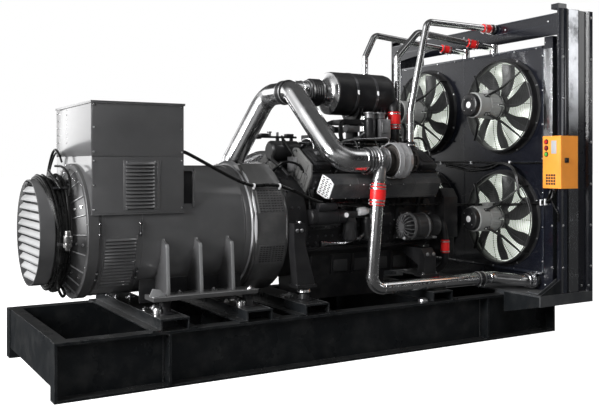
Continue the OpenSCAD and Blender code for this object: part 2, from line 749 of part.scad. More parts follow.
// A fan motor on its spider of flat arms, with the shaft's bore
motor_x = rad_x - 400;
cap_l = 90;
shaft_r = 19;
hub_x = rad_x - 84;
hub_gap = 6;
motor_l = hub_x - hub_gap - motor_x - cap_l;
module fan_motors() {
    color("#6d6f70") on_frame() for (c = fan_centres) {
        turned_x(motor_x, c[0], c[1]) polygon([[0, 0], [24, 0], [24, 6], [87, 6], [93, 14], [93, cap_l],
            [103, cap_l], [103, cap_l + motor_l], [shaft_r + run, cap_l + motor_l], [shaft_r + run, cap_l + 70],
            [0, cap_l + 70]]);
        for (a = [45, 135, 225, 315]) translate([0, c[0], c[1]]) rotate([a, 0, 0])
            rotate([90, 0, 0]) linear_extrude(8, center = true) polygon([
                [motor_x + cap_l + 20, 98], [motor_x + cap_l + 60, 98], [rad_x - ring_d - 4, ring_in - 10],
                [rad_x - ring_d - 2, ring_in + 19], [rad_x - 8 - fit, ring_in + 19],
                [rad_x - 8 - fit, ring_in + 30], [rad_x - ring_d - 14, ring_in + 30]]);
    }
}

// A rotor: hub, shaft and pitched sickle blades
module fan_rotor(c) {
    pitch = 34;
    color("#2c2d2f") on_frame() translate([hub_x, c[0], c[1]]) rotate([0, 90, 0]) {
        cylinder(r = 92, h = 62);
        translate([0, 0, -90]) cylinder(r = shaft_r, h = 92);
        for (i = [0 : blade_n - 1]) rotate([0, 0, i * 360 / blade_n]) intersection() {
            translate([0, 0, 31]) rotate([pitch, 0, 0]) translate([0, 0, -2]) linear_extrude(4)
                polygon([[84, -34], [150, -52], [230, -50], [310, -22], [346, 20], [fan_r + 8, 62], [318, 66],
                    [250, 34], [170, 18], [84, 30]]);
            translate([0, 0, -20]) cylinder(r = fan_r, h = 102);
        }
    }
}
module fan_rotor_1() { fan_rotor(fan_centres[0]); }
module fan_rotor_2() { fan_rotor(fan_centres[1]); }
module fan_rotor_3() { fan_rotor(fan_centres[2]); }
module fan_rotor_4() { fan_rotor(fan_centres[3]); }

// Height just over a rocker cover's sloping top, at y from the middle
function cover_z(y) = let (c = bank(deck + head_h + cover_h, -92))
    c[1] + fit - max(0, y + c[0]) * tan(bank_a);

// Polished coolant pipes over the engine, with their hose couplings
module coolant_pipe_main() {
    p = [[2842, -372, cover_z(372 - 40)], [2842, -372, 1800], [3010, -372, 2522], [rad_x - fit, -372, 2522]];
    color("#b9bbbd") on_frame() {
        pipe(p, 27, 60);
        collar(p[0], p[1], 0, 40, 130);
        collar(p[2], p[3], norm(p[3] - p[2]) - 110, 38, 80);
    }
}
module coolant_pipe_vent() {
    p = [[2995, 0, shaft_z + deck + 208 + fit], [2995, 0, 2285], [3180, -40, 2498], [rad_x + 110, -250, 2385]];
    color("#b9bbbd") on_frame() {
        pipe(p, 28, 50);
        collar(p[2], p[3], norm(p[3] - p[2]) - 230, 36, 90);
        header_neck(p[3], 28);
    }
}
module coolant_pipe_fill() {
    p = [[2850, 260, cover_z(260 - 26)], [2850, 260, 2300], [2945, 250, 2495], [rad_x + 110, 100, 2385]];
    color("#b9bbbd") on_frame() {
        pipe(p, 26, 50);
        collar(p[2], p[3], norm(p[3] - p[2]) - 260, 34, 90);
        header_neck(p[3], 26);
    }
}
// The upright neck in which a coolant pipe ends, on the core's top
module header_neck(p, r) {
    translate([p[0], p[1], panel_top + fit]) cylinder(r = r + 6, h = p[2] + r + 6 - panel_top);
}

// --- Control box

hinge_r = 6;
module control_box() {
    color("#e8a23a") on_frame() {
        translate([box_x, box_y + door_t + fit, box_z]) cube([box_l, box_w - door_t - fit, box_h]);
        // Push buttons
        for (i = [0 : 2]) turned_x(box_x - 10, box_y + box_w - 26, box_z + box_h - 45 - i * 48)
            polygon([[0, 0], [13, 0], [15, 3], [15, 11], [0, 11]]);
    }
}
module control_box_door() {
    color("#d98c2e") on_frame() {
        translate([box_x, box_y, box_z]) cube([box_l - 2 * hinge_r, door_t - fit, box_h]);
        translate([box_x + 40, box_y - lock_t, box_z + 200]) cube([34, lock_t + 1, 34]);
        translate([box_x + box_l - hinge_r, box_y + hinge_r, box_z]) cylinder(r = hinge_r - fit, h = box_h);
        translate([box_x + box_l - 2.5 * hinge_r, box_y + 1, box_z]) cube([1.4 * hinge_r, 8, box_h]);
    }
}

// Cables from the control box to the fans, clipped to the fan panel
cord_r = 8;
module fan_harness() {
    y = box_y + box_w / 2;
    a = rad_x - cord_r - bead - fit;
    front = rad_x - ring_d - 62;
    far = fan_centres[3];
    color("#101112") on_frame() {
        pipe([[a, y, box_z - fit], [a, y, 1120], [a, -930, 1085], [front, -860, 1080], [front, 300, 1064],
            [front, far[0] - 98, far[1] + 40]], cord_r, 20);
        pipe([[a, y + 40, box_z - fit], [a, y + 40, 1160], [a, -900, 1200], [a, -880, fan_z], [a, 450, fan_z]],
            cord_r, 20);
        translate([rad_x - 44, 449, fan_z - 40]) cube([44 - fit, 80, 80]);
    }
}

base_beam_near();
base_beam_far();
base_cross_members();
mounting_bearers();
radiator_shelf();
shelf_brackets();
vibration_mounts();
stator_housing();
alternator_feet();
rear_bell();
air_inlet_drum();
inlet_slats();
cable_coil();
cable_connector();
terminal_box_lower();
terminal_box_upper();
terminal_box_lid();
box_louvre();
stator_louvre();
drive_housing();
engine_block();
oil_sump();
cylinder_heads();
rocker_covers();
engine_supports();
exhaust_shields();
shield_end_plates();
turbochargers();
turbine_shields();
intake_manifold();
air_filter();
filter_cradle();
filter_outlet();
intake_pipe_near();
intake_pipe_far();
charge_pipe_near();
charge_pipe_far();
charging_unit();
front_cover();
crank_pulley();
breather();
radiator_side_near();
radiator_side_far();
radiator_top_beam();
bottom_tank();
radiator_core();
fan_panel();
fan_rings();
fan_motors();
fan_rotor_1();
fan_rotor_2();
fan_rotor_3();
fan_rotor_4();
coolant_pipe_main();
coolant_pipe_vent();
coolant_pipe_fill();
control_box();
control_box_door();
fan_harness();
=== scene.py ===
"""An open diesel generating set, dressed for a studio view.

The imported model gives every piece's true size and place.  This file adds the
finishes, the small fastenings, the hoses and cables and the studio round it.
"""

from __future__ import annotations

import json
import logging
from dataclasses import dataclass
from enum import Enum
from functools import cache
from math import asin, cos, pi, radians, sin, sqrt, tan, tau
from typing import Iterable, Sequence

import bmesh
import bpy
from mathutils import Matrix, Vector

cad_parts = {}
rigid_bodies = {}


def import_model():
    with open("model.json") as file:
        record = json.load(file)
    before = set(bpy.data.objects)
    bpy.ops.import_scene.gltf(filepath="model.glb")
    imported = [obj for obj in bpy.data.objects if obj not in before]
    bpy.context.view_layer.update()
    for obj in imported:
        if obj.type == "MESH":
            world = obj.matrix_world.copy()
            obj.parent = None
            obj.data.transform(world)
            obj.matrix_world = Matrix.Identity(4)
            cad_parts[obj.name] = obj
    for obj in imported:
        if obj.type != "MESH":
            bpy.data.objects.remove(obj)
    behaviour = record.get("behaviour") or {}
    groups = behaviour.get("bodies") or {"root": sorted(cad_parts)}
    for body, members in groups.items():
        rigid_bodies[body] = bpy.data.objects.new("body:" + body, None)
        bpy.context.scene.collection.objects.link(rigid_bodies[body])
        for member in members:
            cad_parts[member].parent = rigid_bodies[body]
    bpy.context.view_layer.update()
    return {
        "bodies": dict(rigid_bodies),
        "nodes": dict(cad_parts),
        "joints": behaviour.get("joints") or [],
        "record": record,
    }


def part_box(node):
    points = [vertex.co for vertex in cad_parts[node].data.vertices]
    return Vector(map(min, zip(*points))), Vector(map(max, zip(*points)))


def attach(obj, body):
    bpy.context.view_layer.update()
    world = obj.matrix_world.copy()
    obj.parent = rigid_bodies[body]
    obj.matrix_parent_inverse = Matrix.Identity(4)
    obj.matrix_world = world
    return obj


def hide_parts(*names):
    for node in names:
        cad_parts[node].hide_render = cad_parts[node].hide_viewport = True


log = logging.getLogger("generating_set")

Point = tuple[float, float, float]
Colour = tuple[float, float, float]
Spot = tuple[Point, Point, float]
RIGHT: Point = (1, 0, 0)
LEFT: Point = (-1, 0, 0)
FAR: Point = (0, 1, 0)
NEAR: Point = (0, -1, 0)
UP: Point = (0, 0, 1)
SIDES = (-1, 1)

# --- node maths


class Value:
    """A number in a node tree that adds its own Math nodes when it is used."""

    def __init__(self, tree: "Tree", socket: bpy.types.NodeSocket) -> None:
        """Wraps an output socket.

        Args:
            tree: the tree that the socket belongs to.
            socket: the output socket.
        """
        self.tree = tree
        self.socket = socket

    def math(self, operation: str, *terms: object) -> "Value":
        """Adds one Math node on these terms and returns its result."""
        return self.tree.value("ShaderNodeMath", {"operation": operation}, dict(enumerate(terms)))

    def __add__(self, other: object) -> "Value":
        """Sum."""
        return self.math("ADD", self, other)

    def __mul__(self, other: object) -> "Value":
        """Product."""
        return self.math("MULTIPLY", self, other)

    def __sub__(self, other: object) -> "Value":
        """Difference."""
        return self.math("SUBTRACT", self, other)

    def __rsub__(self, other: object) -> "Value":
        """Difference with this value taken away."""
        return self.math("SUBTRACT", other, self)

    def __truediv__(self, other: object) -> "Value":
        """Quotient."""
        return self.math("DIVIDE", self, other)

    def __pow__(self, other: object) -> "Value":
        """Power."""
        return self.math("POWER", self, other)

    def __or__(self, other: object) -> "Value":
        """The greater of two values."""
        return self.math("MAXIMUM", self, other)

    def sine(self) -> "Value":
        """Sine of an angle in radians."""
        return self.math("SINE", self)

    def spread(self, low: float, high: float, to_low: object = 0.0, to_high: object = 1.0) -> "Value":
        """Maps a band of this value to another band, clamped at both ends.

        Args:
            low: value that becomes to_low.
            high: value that becomes to_high.
            to_low: result at low.
            to_high: result at high.

        Returns:
            The mapped value.
        """
        return self.tree.value(
            "ShaderNodeMapRange", {"clamp": True}, {0: self, 1: low, 2: high, 3: to_low, 4: to_high}
        )


class Tree:
    """A node tree, with a single method that adds any node."""

    def __init__(self, tree: bpy.types.NodeTree) -> None:
        """Wraps a tree."""
        self.tree = tree

    def node(
        self, kind: str, settings: dict[str, object] | None = None,
        inputs: dict[object, object] | None = None,
    ) -> bpy.types.Node:
        """Adds a node, sets it up and then fills its sockets.

        Args:
            kind: the node's type name.
            settings: its properties.
            inputs: socket name or number to a value, a socket or a Value.

        Returns:
            The new node.
        """
        node = self.tree.nodes.new(kind)
        for key, setting in (settings or {}).items():
            setattr(node, key, setting)
        for key, value in (inputs or {}).items():
            if isinstance(value, Value):
                value = value.socket
            if isinstance(value, bpy.types.NodeSocket):
                self.tree.links.new(value, node.inputs[key])
            else:
                node.inputs[key].default_value = value
        return node

    def value(
        self, kind: str, settings: dict[str, object] | None = None,
        inputs: dict[object, object] | None = None, output: object = 0,
    ) -> Value:
        """Adds a node and wraps one of its outputs.

        Args:
            kind: the node's type name.
            settings: its properties.
            inputs: its socket values.
            output: name or number of the output.

        Returns:
            The wrapped output.
        """
        return Value(self, self.node(kind, settings, inputs).outputs[output])


class Shader(Tree):
    """One node material."""

    def __init__(self, owner: str | bpy.types.World) -> None:
        """Makes an empty material, or empties a world's nodes.

        Args:
            owner: the material's name, or the world.
        """
        self.material = bpy.data.materials.new(owner) if isinstance(owner, str) else owner
        self.material.use_nodes = True
        super().__init__(self.material.node_tree)
        self.tree.nodes.clear()

    def place(self) -> Value:
        """The object's own coordinates, in metres."""
        return self.value("ShaderNodeTexCoord", output="Object")

    def soft(self, radius: float) -> Value:
        """The surface's normal, with its edges softened by a radius in metres."""
        return self.value("ShaderNodeBevel", {"samples": 4}, {"Radius": radius})

    def noise(
        self, scale: float, detail: float = 4.0, roughness: float = 0.55, stretch: Point = (1, 1, 1)
    ) -> Value:
        """Smooth noise over the object.

        Args:
            scale: how many features fit in a metre.
            detail: how many finer layers are added.
            roughness: how strong the finer layers are.
            stretch: how much each axis is scaled first.

        Returns:
            The noise, from about 0.2 to 0.8.
        """
        where = self.value("ShaderNodeMapping", {}, {"Vector": self.place(), "Scale": stretch})
        return self.value(
            "ShaderNodeTexNoise", {}, {"Vector": where, "Scale": scale, "Detail": detail,
                "Roughness": roughness}
        )

    def blend(self, factor: Value, first: object, second: object) -> Value:
        """Mixes two colours.

        Args:
            factor: 0 gives the first, 1 the second.
            first: a colour or a wrapped colour.
            second: a colour or a wrapped colour.

        Returns:
            The mixed colour.
        """
        a, b = ((*c, 1.0) if isinstance(c, tuple) else c for c in (first, second))
        return self.value("ShaderNodeMix", {"data_type": "RGBA"}, {0: factor, 6: a, 7: b}, 2)

    def bump(self, height: Value, strength: float, distance: float, under: Value | None = None) -> Value:
        """Turns a height into a normal.

        Args:
            height: the height, from 0 to 1.
            strength: how much of it shows.
            distance: the height in metres that 1 stands for.
            under: a normal to build on, such as a softened edge's.

        Returns:
            The normal.
        """
        base = {} if under is None else {"Normal": under}
        return self.value(
            "ShaderNodeBump", {}, {"Height": height, "Strength": strength, "Distance": distance, **base}
        )

    def surface(self, inputs: dict[object, object]) -> bpy.types.Material:
        """Ends the material in a Principled shader.

        Args:
            inputs: the shader's socket values.

        Returns:
            The finished material.
        """
        shader = self.value("ShaderNodeBsdfPrincipled", {}, inputs)
        self.node("ShaderNodeOutputMaterial", {}, {0: shader})
        return self.material


# --- finishes


def shade(colour: Colour, factor: float) -> Colour:
    """A colour made darker or lighter, with no part over 1."""
    return tuple(min(1.0, part * factor) for part in colour)


@dataclass(frozen=True)
class Paint:
    """Sprayed paint: faint mottling, dust, a soft orange-peel and rubbed edges."""

    name: str
    colour: Colour
    rough: float = 0.4
    coat: float = 0.0
    dust: float = 0.12
    worn: float = 0.35
    edge: float = 0.0025
    peel: float = 0.25
    shine: float = 0.3
    edge_colour: Colour = (0.20, 0.20, 0.205)
    dust_colour: Colour = (0.30, 0.29, 0.275)
    coat_index: float = 1.5

    def make(self) -> bpy.types.Material:
        """Builds the node material."""
        s = Shader(self.name)
        soft = s.soft(self.edge)
        flat = s.value("ShaderNodeNewGeometry", output="Normal")
        turn = 1 - s.value("ShaderNodeVectorMath", {"operation": "DOT_PRODUCT"}, {0: soft, 1: flat},
            "Value")
        rub = turn.spread(0.01, 0.10) * s.noise(38, 6).spread(0.42, 0.62) * self.worn
        cloud = s.noise(1.7, 5)
        tone = s.blend(cloud.spread(0.3, 0.7), shade(self.colour, 0.82), shade(self.colour, 1.22))
        up = s.value("ShaderNodeSeparateXYZ", {}, {0: flat}, "Z").spread(0.5, 1.0)
        grime = s.noise(9, 8, 0.65).spread(0.45, 0.75) * self.dust
        dusty = s.blend(grime + up * self.dust * 0.8, tone, self.dust_colour)
        return s.surface({
            "Base Color": s.blend(rub, dusty, self.edge_colour),
            "Roughness": cloud.spread(0.3, 0.7, self.rough - 0.05, self.rough + 0.08) + grime * 0.5,
            "Coat Weight": self.coat,
            "Coat Roughness": 0.10,
            "Coat IOR": self.coat_index,
            "Specular IOR Level": self.shine,
            "Normal": s.bump(s.noise(420, 2), self.peel, 0.0006, soft),
        })


@dataclass(frozen=True)
class Metal:
    """Bare or polished metal with faint stains and fine scratches."""

    name: str
    colour: Colour
    rough: float = 0.18
    stain: float = 0.15
    edge: float = 0.001
    metallic: float = 1.0

    def make(self) -> bpy.types.Material:
        """Builds the node material."""
        s = Shader(self.name)
        cloud = s.noise(6, 6, 0.6)
        scratch = s.noise(160, 3, 0.5, (1, 1, 0.08))
        stained = cloud.spread(0.5, 0.75) * self.stain
        return s.surface({
            "Base Color": s.blend(stained, self.colour, shade(self.colour, 0.45)),
            "Metallic": self.metallic,
            "Roughness": cloud.spread(0.3, 0.7, self.rough * 0.7, self.rough * 1.5) + stained * 0.6,
            "Normal": s.bump(scratch, 0.08, 0.0004, s.soft(self.edge)),
        })


@dataclass(frozen=True)
class Rubber:
    """Rubber, moulded plastic or a cable's sheath."""

    name: str
    colour: Colour
    rough: float = 0.45
    dust: float = 0.08
    shine: float = 0.3
    dust_colour: Colour = (0.22, 0.215, 0.21)

    def make(self) -> bpy.types.Material:
        """Builds the node material."""
        s = Shader(self.name)
        cloud = s.noise(14, 6, 0.6)
        return s.surface({
            "Base Color": s.blend(cloud.spread(0.48, 0.75) * self.dust, self.colour, self.dust_colour),
            "Roughness": cloud.spread(0.3, 0.7, self.rough - 0.06, self.rough + 0.1),
            "Specular IOR Level": self.shine,
            "Normal": s.bump(s.noise(300, 3), 0.2, 0.0005),
        })


@dataclass(frozen=True)
class Casting:
    """Painted or bare cast metal with a sand-cast grain."""

    name: str
    colour: Colour
    rough: float = 0.5
    metallic: float = 0.0
    grain: float = 0.6
    dust: float = 0.1
    shine: float = 0.3
    edge: float = 0.004
    dust_colour: Colour = (0.24, 0.23, 0.22)

    def make(self) -> bpy.types.Material:
        """Builds the node material."""
        s = Shader(self.name)
        cloud = s.noise(5, 6, 0.6)
        sand = s.noise(130, 6, 0.75)
        tone = s.blend(sand.spread(0.35, 0.65), shade(self.colour, 0.8), shade(self.colour, 1.25))
        return s.surface({
            "Base Color": s.blend(cloud.spread(0.45, 0.75) * self.dust, tone, self.dust_colour),
            "Metallic": self.metallic,
            "Roughness": cloud.spread(0.3, 0.7, self.rough - 0.08, self.rough + 0.12),
            "Specular IOR Level": self.shine,
            "Normal": s.bump(sand, self.grain, 0.0018, s.soft(self.edge)),
        })


@dataclass(frozen=True)
class Fins:
    """The face of a finned core that glows with a painted backlight: level fins crossed by upright tubes.
    """

    name: str
    colour: Colour
    fins_per_metre: float = 180.0
    tubes_per_metre: float = 45.0
    # light, dim and glow make a painted backlight: the core emits light as if daylight came through it from
    # behind, dimmer between the fins
    light: Colour = (0.78, 0.84, 0.75)
    dim: Colour = (0.42, 0.46, 0.40)
    glow: float = 0.78

    def make(self) -> bpy.types.Material:
        """Builds the node material."""
        s = Shader(self.name)
        split = s.node("ShaderNodeSeparateXYZ", {}, {0: s.place()})
        z, y = Value(s, split.outputs["Z"]), Value(s, split.outputs["Y"])
        fin = (z * (tau * self.fins_per_metre)).sine().spread(-1, 1)
        tube = (y * (tau * self.tubes_per_metre)).sine().spread(0.55, 0.9)
        # painted shade: darker stripes between the fins, in the colour and in the glow
        dark = (1 - fin) * 0.3
        tone = s.blend(dark, self.colour, shade(self.colour, 0.45))
        return s.surface({
            "Base Color": s.blend(tube * 0.35, tone, shade(self.colour, 1.15)),
            "Metallic": 0.0,
            "Emission Color": s.blend(dark, self.light, self.dim),
            "Emission Strength": self.glow,
            "Roughness": s.noise(3, 5).spread(0.3, 0.7, 0.42, 0.6),
            "Normal": s.bump(fin + tube, 0.5, 0.003),
        })


class Finish(Enum):
    """Every finish on the set."""

    RAIL = Paint("rail_grey", (0.042, 0.042, 0.043), rough=0.4, dust=0.05, worn=0.4)
    # a lighter copy of the shroud's grey: painted highlight on the drive housing's rim
    RIM = Paint("rim_grey", (0.30, 0.30, 0.31), rough=0.3, coat=0.6, dust=0.1, worn=0.3)
    # a mid grey for painted highlights on the bell's ribs and the foot rails' edges, and for painted shade
    # under the inlet slats
    FOOT = Paint("foot_grey", (0.16, 0.162, 0.165), rough=0.34, dust=0.1, worn=0.4, shine=0.5)
    GLOSS = Paint("radiator_strip", (0.010, 0.012, 0.018), rough=0.16, dust=0.02, worn=0.3, coat=0.8,
        shine=0.5)
    # bright metal for sheets on the radiator's folds and post faces: painted sheen standing in for the
    # glossy black paint's reflection
    STRIP = Metal("bright_strip", (0.42, 0.43, 0.45), rough=0.14, stain=0.2)
    POST = Metal("post_sheen", (0.68, 0.69, 0.71), rough=0.18, stain=0.3)
    CAST_LIGHT = Casting("light_casting", (0.13, 0.13, 0.128), rough=0.5, metallic=0.25, grain=1.0,
        dust=0.2)
    PLATE = Paint("blank_white", (0.62, 0.62, 0.62), rough=0.5, dust=0.02)
    PLATE_GREY = Paint("blank_grey", (0.36, 0.36, 0.37), rough=0.45, dust=0.02)
    BUTTON_RED = Rubber("button_red", (0.45, 0.012, 0.01), rough=0.3)
    BUTTON_DARK = Rubber("button_dark", (0.20, 0.012, 0.01), rough=0.3)
    BUTTON_GREEN = Rubber("button_green", (0.08, 0.35, 0.05), rough=0.3)
    WELD = Casting("weld_bead", (0.045, 0.046, 0.048), rough=0.35, grain=1.0, metallic=0.3)
    BASE = Paint("base_black", (0.007, 0.008, 0.009), rough=0.27, dust=0.04, worn=0.5, shine=0.15)
    DECK = Paint("deck_grey", (0.028, 0.030, 0.033), rough=0.36, dust=0.12, worn=0.3, shine=0.5)
    ALTERNATOR = Paint("alternator_grey", (0.058, 0.058, 0.060), rough=0.34, dust=0.04, worn=0.25,
        edge=0.002, coat=1.0, shine=0.6, coat_index=2.0)
    SHROUD = Paint("shroud_grey", (0.040, 0.040, 0.041), rough=0.42, dust=0.10, worn=0.3, edge=0.002,
        coat=0.6, shine=0.5, coat_index=1.8)
    SLATS = Paint("slat_grey", (0.25, 0.252, 0.255), rough=0.35, dust=0.12, worn=0.2)
    ENGINE = Casting("engine_black", (0.011, 0.011, 0.012), rough=0.34, grain=0.5, dust=0.05, shine=0.35)
    COVER = Casting("cover_black", (0.013, 0.013, 0.014), rough=0.30, grain=0.35, dust=0.05, shine=0.4)
    CAST = Casting("bare_casting", (0.20, 0.20, 0.205), rough=0.42, metallic=0.7, grain=0.5)
    CAST_DARK = Casting("dark_casting", (0.020, 0.020, 0.021), rough=0.38, grain=0.6, shine=0.4)
    HOT = Casting("turbine_casting", (0.045, 0.040, 0.037), rough=0.55, metallic=0.4, grain=0.9)
    WRAP = Metal("wrap_sheet", (0.42, 0.42, 0.43), rough=0.34, stain=0.5, metallic=0.6)
    BRIGHT = Metal("bright_sheet", (0.82, 0.82, 0.83), rough=0.36, stain=0.1, metallic=0.2)
    LINE = Metal("line_tube", (0.50, 0.50, 0.51), rough=0.25, stain=0.3)
    DARK_BOLT = Metal("dark_bolt", (0.10, 0.10, 0.105), rough=0.34, stain=0.3, metallic=0.8)
    # near black: the paint of the sump and other black parts, and also painted shade in slots, vents,
    # recesses and gaps
    SUMP = Paint("sump_black", (0.009, 0.009, 0.010), rough=0.36, dust=0.05)
    HOUSING = Casting("turbo_casting", (0.30, 0.30, 0.305), rough=0.30, metallic=0.9, grain=0.3)
    LAGGING = Casting("exhaust_lagging", (0.030, 0.031, 0.033), rough=0.45, grain=1.0, dust=0.25)
    CANISTER = Paint("canister_black", (0.008, 0.008, 0.009), rough=0.38, worn=0.1, dust=0.05)
    HOSE_BLACK = Rubber("hose_black", (0.010, 0.010, 0.011), rough=0.36)
    HOSE_RED = Rubber("hose_red", (0.62, 0.016, 0.016), rough=0.3, dust=0.05)
    CABLE = Rubber("cable_sheath", (0.004, 0.004, 0.004), rough=0.26, dust=0.02, shine=0.25)
    STEEL = Metal("polished_steel", (0.78, 0.78, 0.79), rough=0.17)
    ZINC = Metal("zinc_bolt", (0.74, 0.74, 0.75), rough=0.26, stain=0.3)
    BRASS = Metal("plated_connector", (0.70, 0.69, 0.68), rough=0.26)
    RADIATOR = Paint("radiator_blue_black", (0.0042, 0.0048, 0.0082), rough=0.24, dust=0.008, worn=0.25,
        shine=0.3, coat=1.0)
    # the core glows with a painted backlight
    CORE = Fins("finned_core", (0.95, 0.985, 0.92))
    FAN_METAL = Paint("ring_enamel", (0.009, 0.009, 0.010), rough=0.32, worn=0.2, dust=0.04)
    BLADE = Rubber("blade_black", (0.020, 0.021, 0.021), rough=0.34, dust=0.10)
    MOTOR = Paint("motor_paint", (0.25, 0.255, 0.25), rough=0.3, dust=0.1, worn=0.2, shine=0.5)
    WIRE = Metal("guard_wire", (0.035, 0.035, 0.036), rough=0.4, stain=0.3, metallic=0.2)
    CAP = Paint("motor_cap_black", (0.010, 0.010, 0.011), rough=0.3, worn=0.3, dust=0.06, shine=0.4)
    ORANGE = Paint("box_enamel", (0.84, 0.295, 0.042), rough=0.35, dust=0.03, worn=0.15,
        edge_colour=(0.9, 0.5, 0.2))

    def material(self) -> bpy.types.Material:
        """The finish's material, made the first time it is asked for."""
        return bpy.data.materials.get(self.value.name) or self.value.make()


# --- shapes


class Datum:
    """The set's own measures, in millimetres.

    X starts at the base's alternator end, Y at the shaft's upright plane and Z on
    the ground.
    """

    start = Vector((0.0, 0.0, 0.0))

    @classmethod
    def read(cls) -> None:
        """Finds where the measures start in the frame."""
        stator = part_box("stator_housing")
        cls.start = Vector((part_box("base_beam_near")[0][0], (stator[0][1] + stator[1][1]) / 2, 0.0))

    @classmethod
    def matrix(cls) -> Matrix:
        """Turns the set's millimetres into the frame's metres."""
        return Matrix.Translation(cls.start) @ Matrix.Scale(0.001, 4)


def bent(corners: Sequence[Point], bend: float, steps: int = 7) -> list[Vector]:
    """Rounds the inner corners of a path of straight runs.

    Args:
        corners: the path's corners.
        bend: radius of each bend.
        steps: how many pieces a bend is made of.

    Returns:
        The points of the rounded path.
    """
    corners = [Vector(c) for c in corners]
    path = [corners[0]]
    for before, corner, after in zip(corners, corners[1:], corners[2:]):
        back, on = (before - corner).normalized(), (after - corner).normalized()
        half = back.angle(on) / 2
        reach = min(bend / tan(half), 0.49 * min((before - corner).length, (after - corner).length))
        first, last = corner + back * reach, corner + on * reach
        centre = corner + (back + on).normalized() * (reach / cos(half))
        a, b = first - centre, last - centre
        turn = a.angle(b)
        for k in range(steps + 1):
            t = k / steps
            path.append(centre + (a * sin((1 - t) * turn) + b * sin(t * turn)) / sin(turn))
    path.append(corners[-1])
    return path


def flowing(points: Sequence[Point], steps: int = 6) -> list[Vector]:
    """Draws a smooth path through a list of points.

    Args:
        points: the points that the path passes through.
        steps: how many pieces lie between two of them.

    Returns:
        The points of the smooth path.
    """
    p = [Vector(c) for c in points]
    p = [2 * p[0] - p[1], *p, 2 * p[-1] - p[-2]]
    path = []
    for a, b, c, d in zip(p, p[1:], p[2:], p[3:]):
        for k in range(steps):
            t = k / steps
            path.append(0.5 * (2 * b + (c - a) * t + (2 * a - 5 * b + 4 * c - d) * t ** 2
                               + (3 * b - a - 3 * c + d) * t ** 3))
    return [*path, p[-2]]


def standing(centre: Point, axis: Point) -> Matrix:
    """Puts a shape that runs along X at a point, along an axis."""
    turn = Vector(RIGHT).rotation_difference(Vector(axis)).to_matrix().to_4x4()
    return Matrix.Translation(Vector(centre)) @ turn


def around(
    centre: Point, radius: float, angles: Iterable[float], thread: float, along: float = -1.0,
    out: float = 0.0,
) -> list[Spot]:
    """Spaces fastenings round a circle about X.

    Args:
        centre: the circle's middle.
        radius: its radius.
        angles: where they sit, in degrees from Y towards Z.
        thread: their size.
        along: how much they face along X.
        out: how much they face outwards.

    Returns:
        Place, facing and size of each.
    """
    x, y, z = centre
    turns = [(cos(radians(a)), sin(radians(a))) for a in angles]
    return [((x, y + radius * c, z + radius * s), (along, out * c, out * s), thread) for c, s in turns]


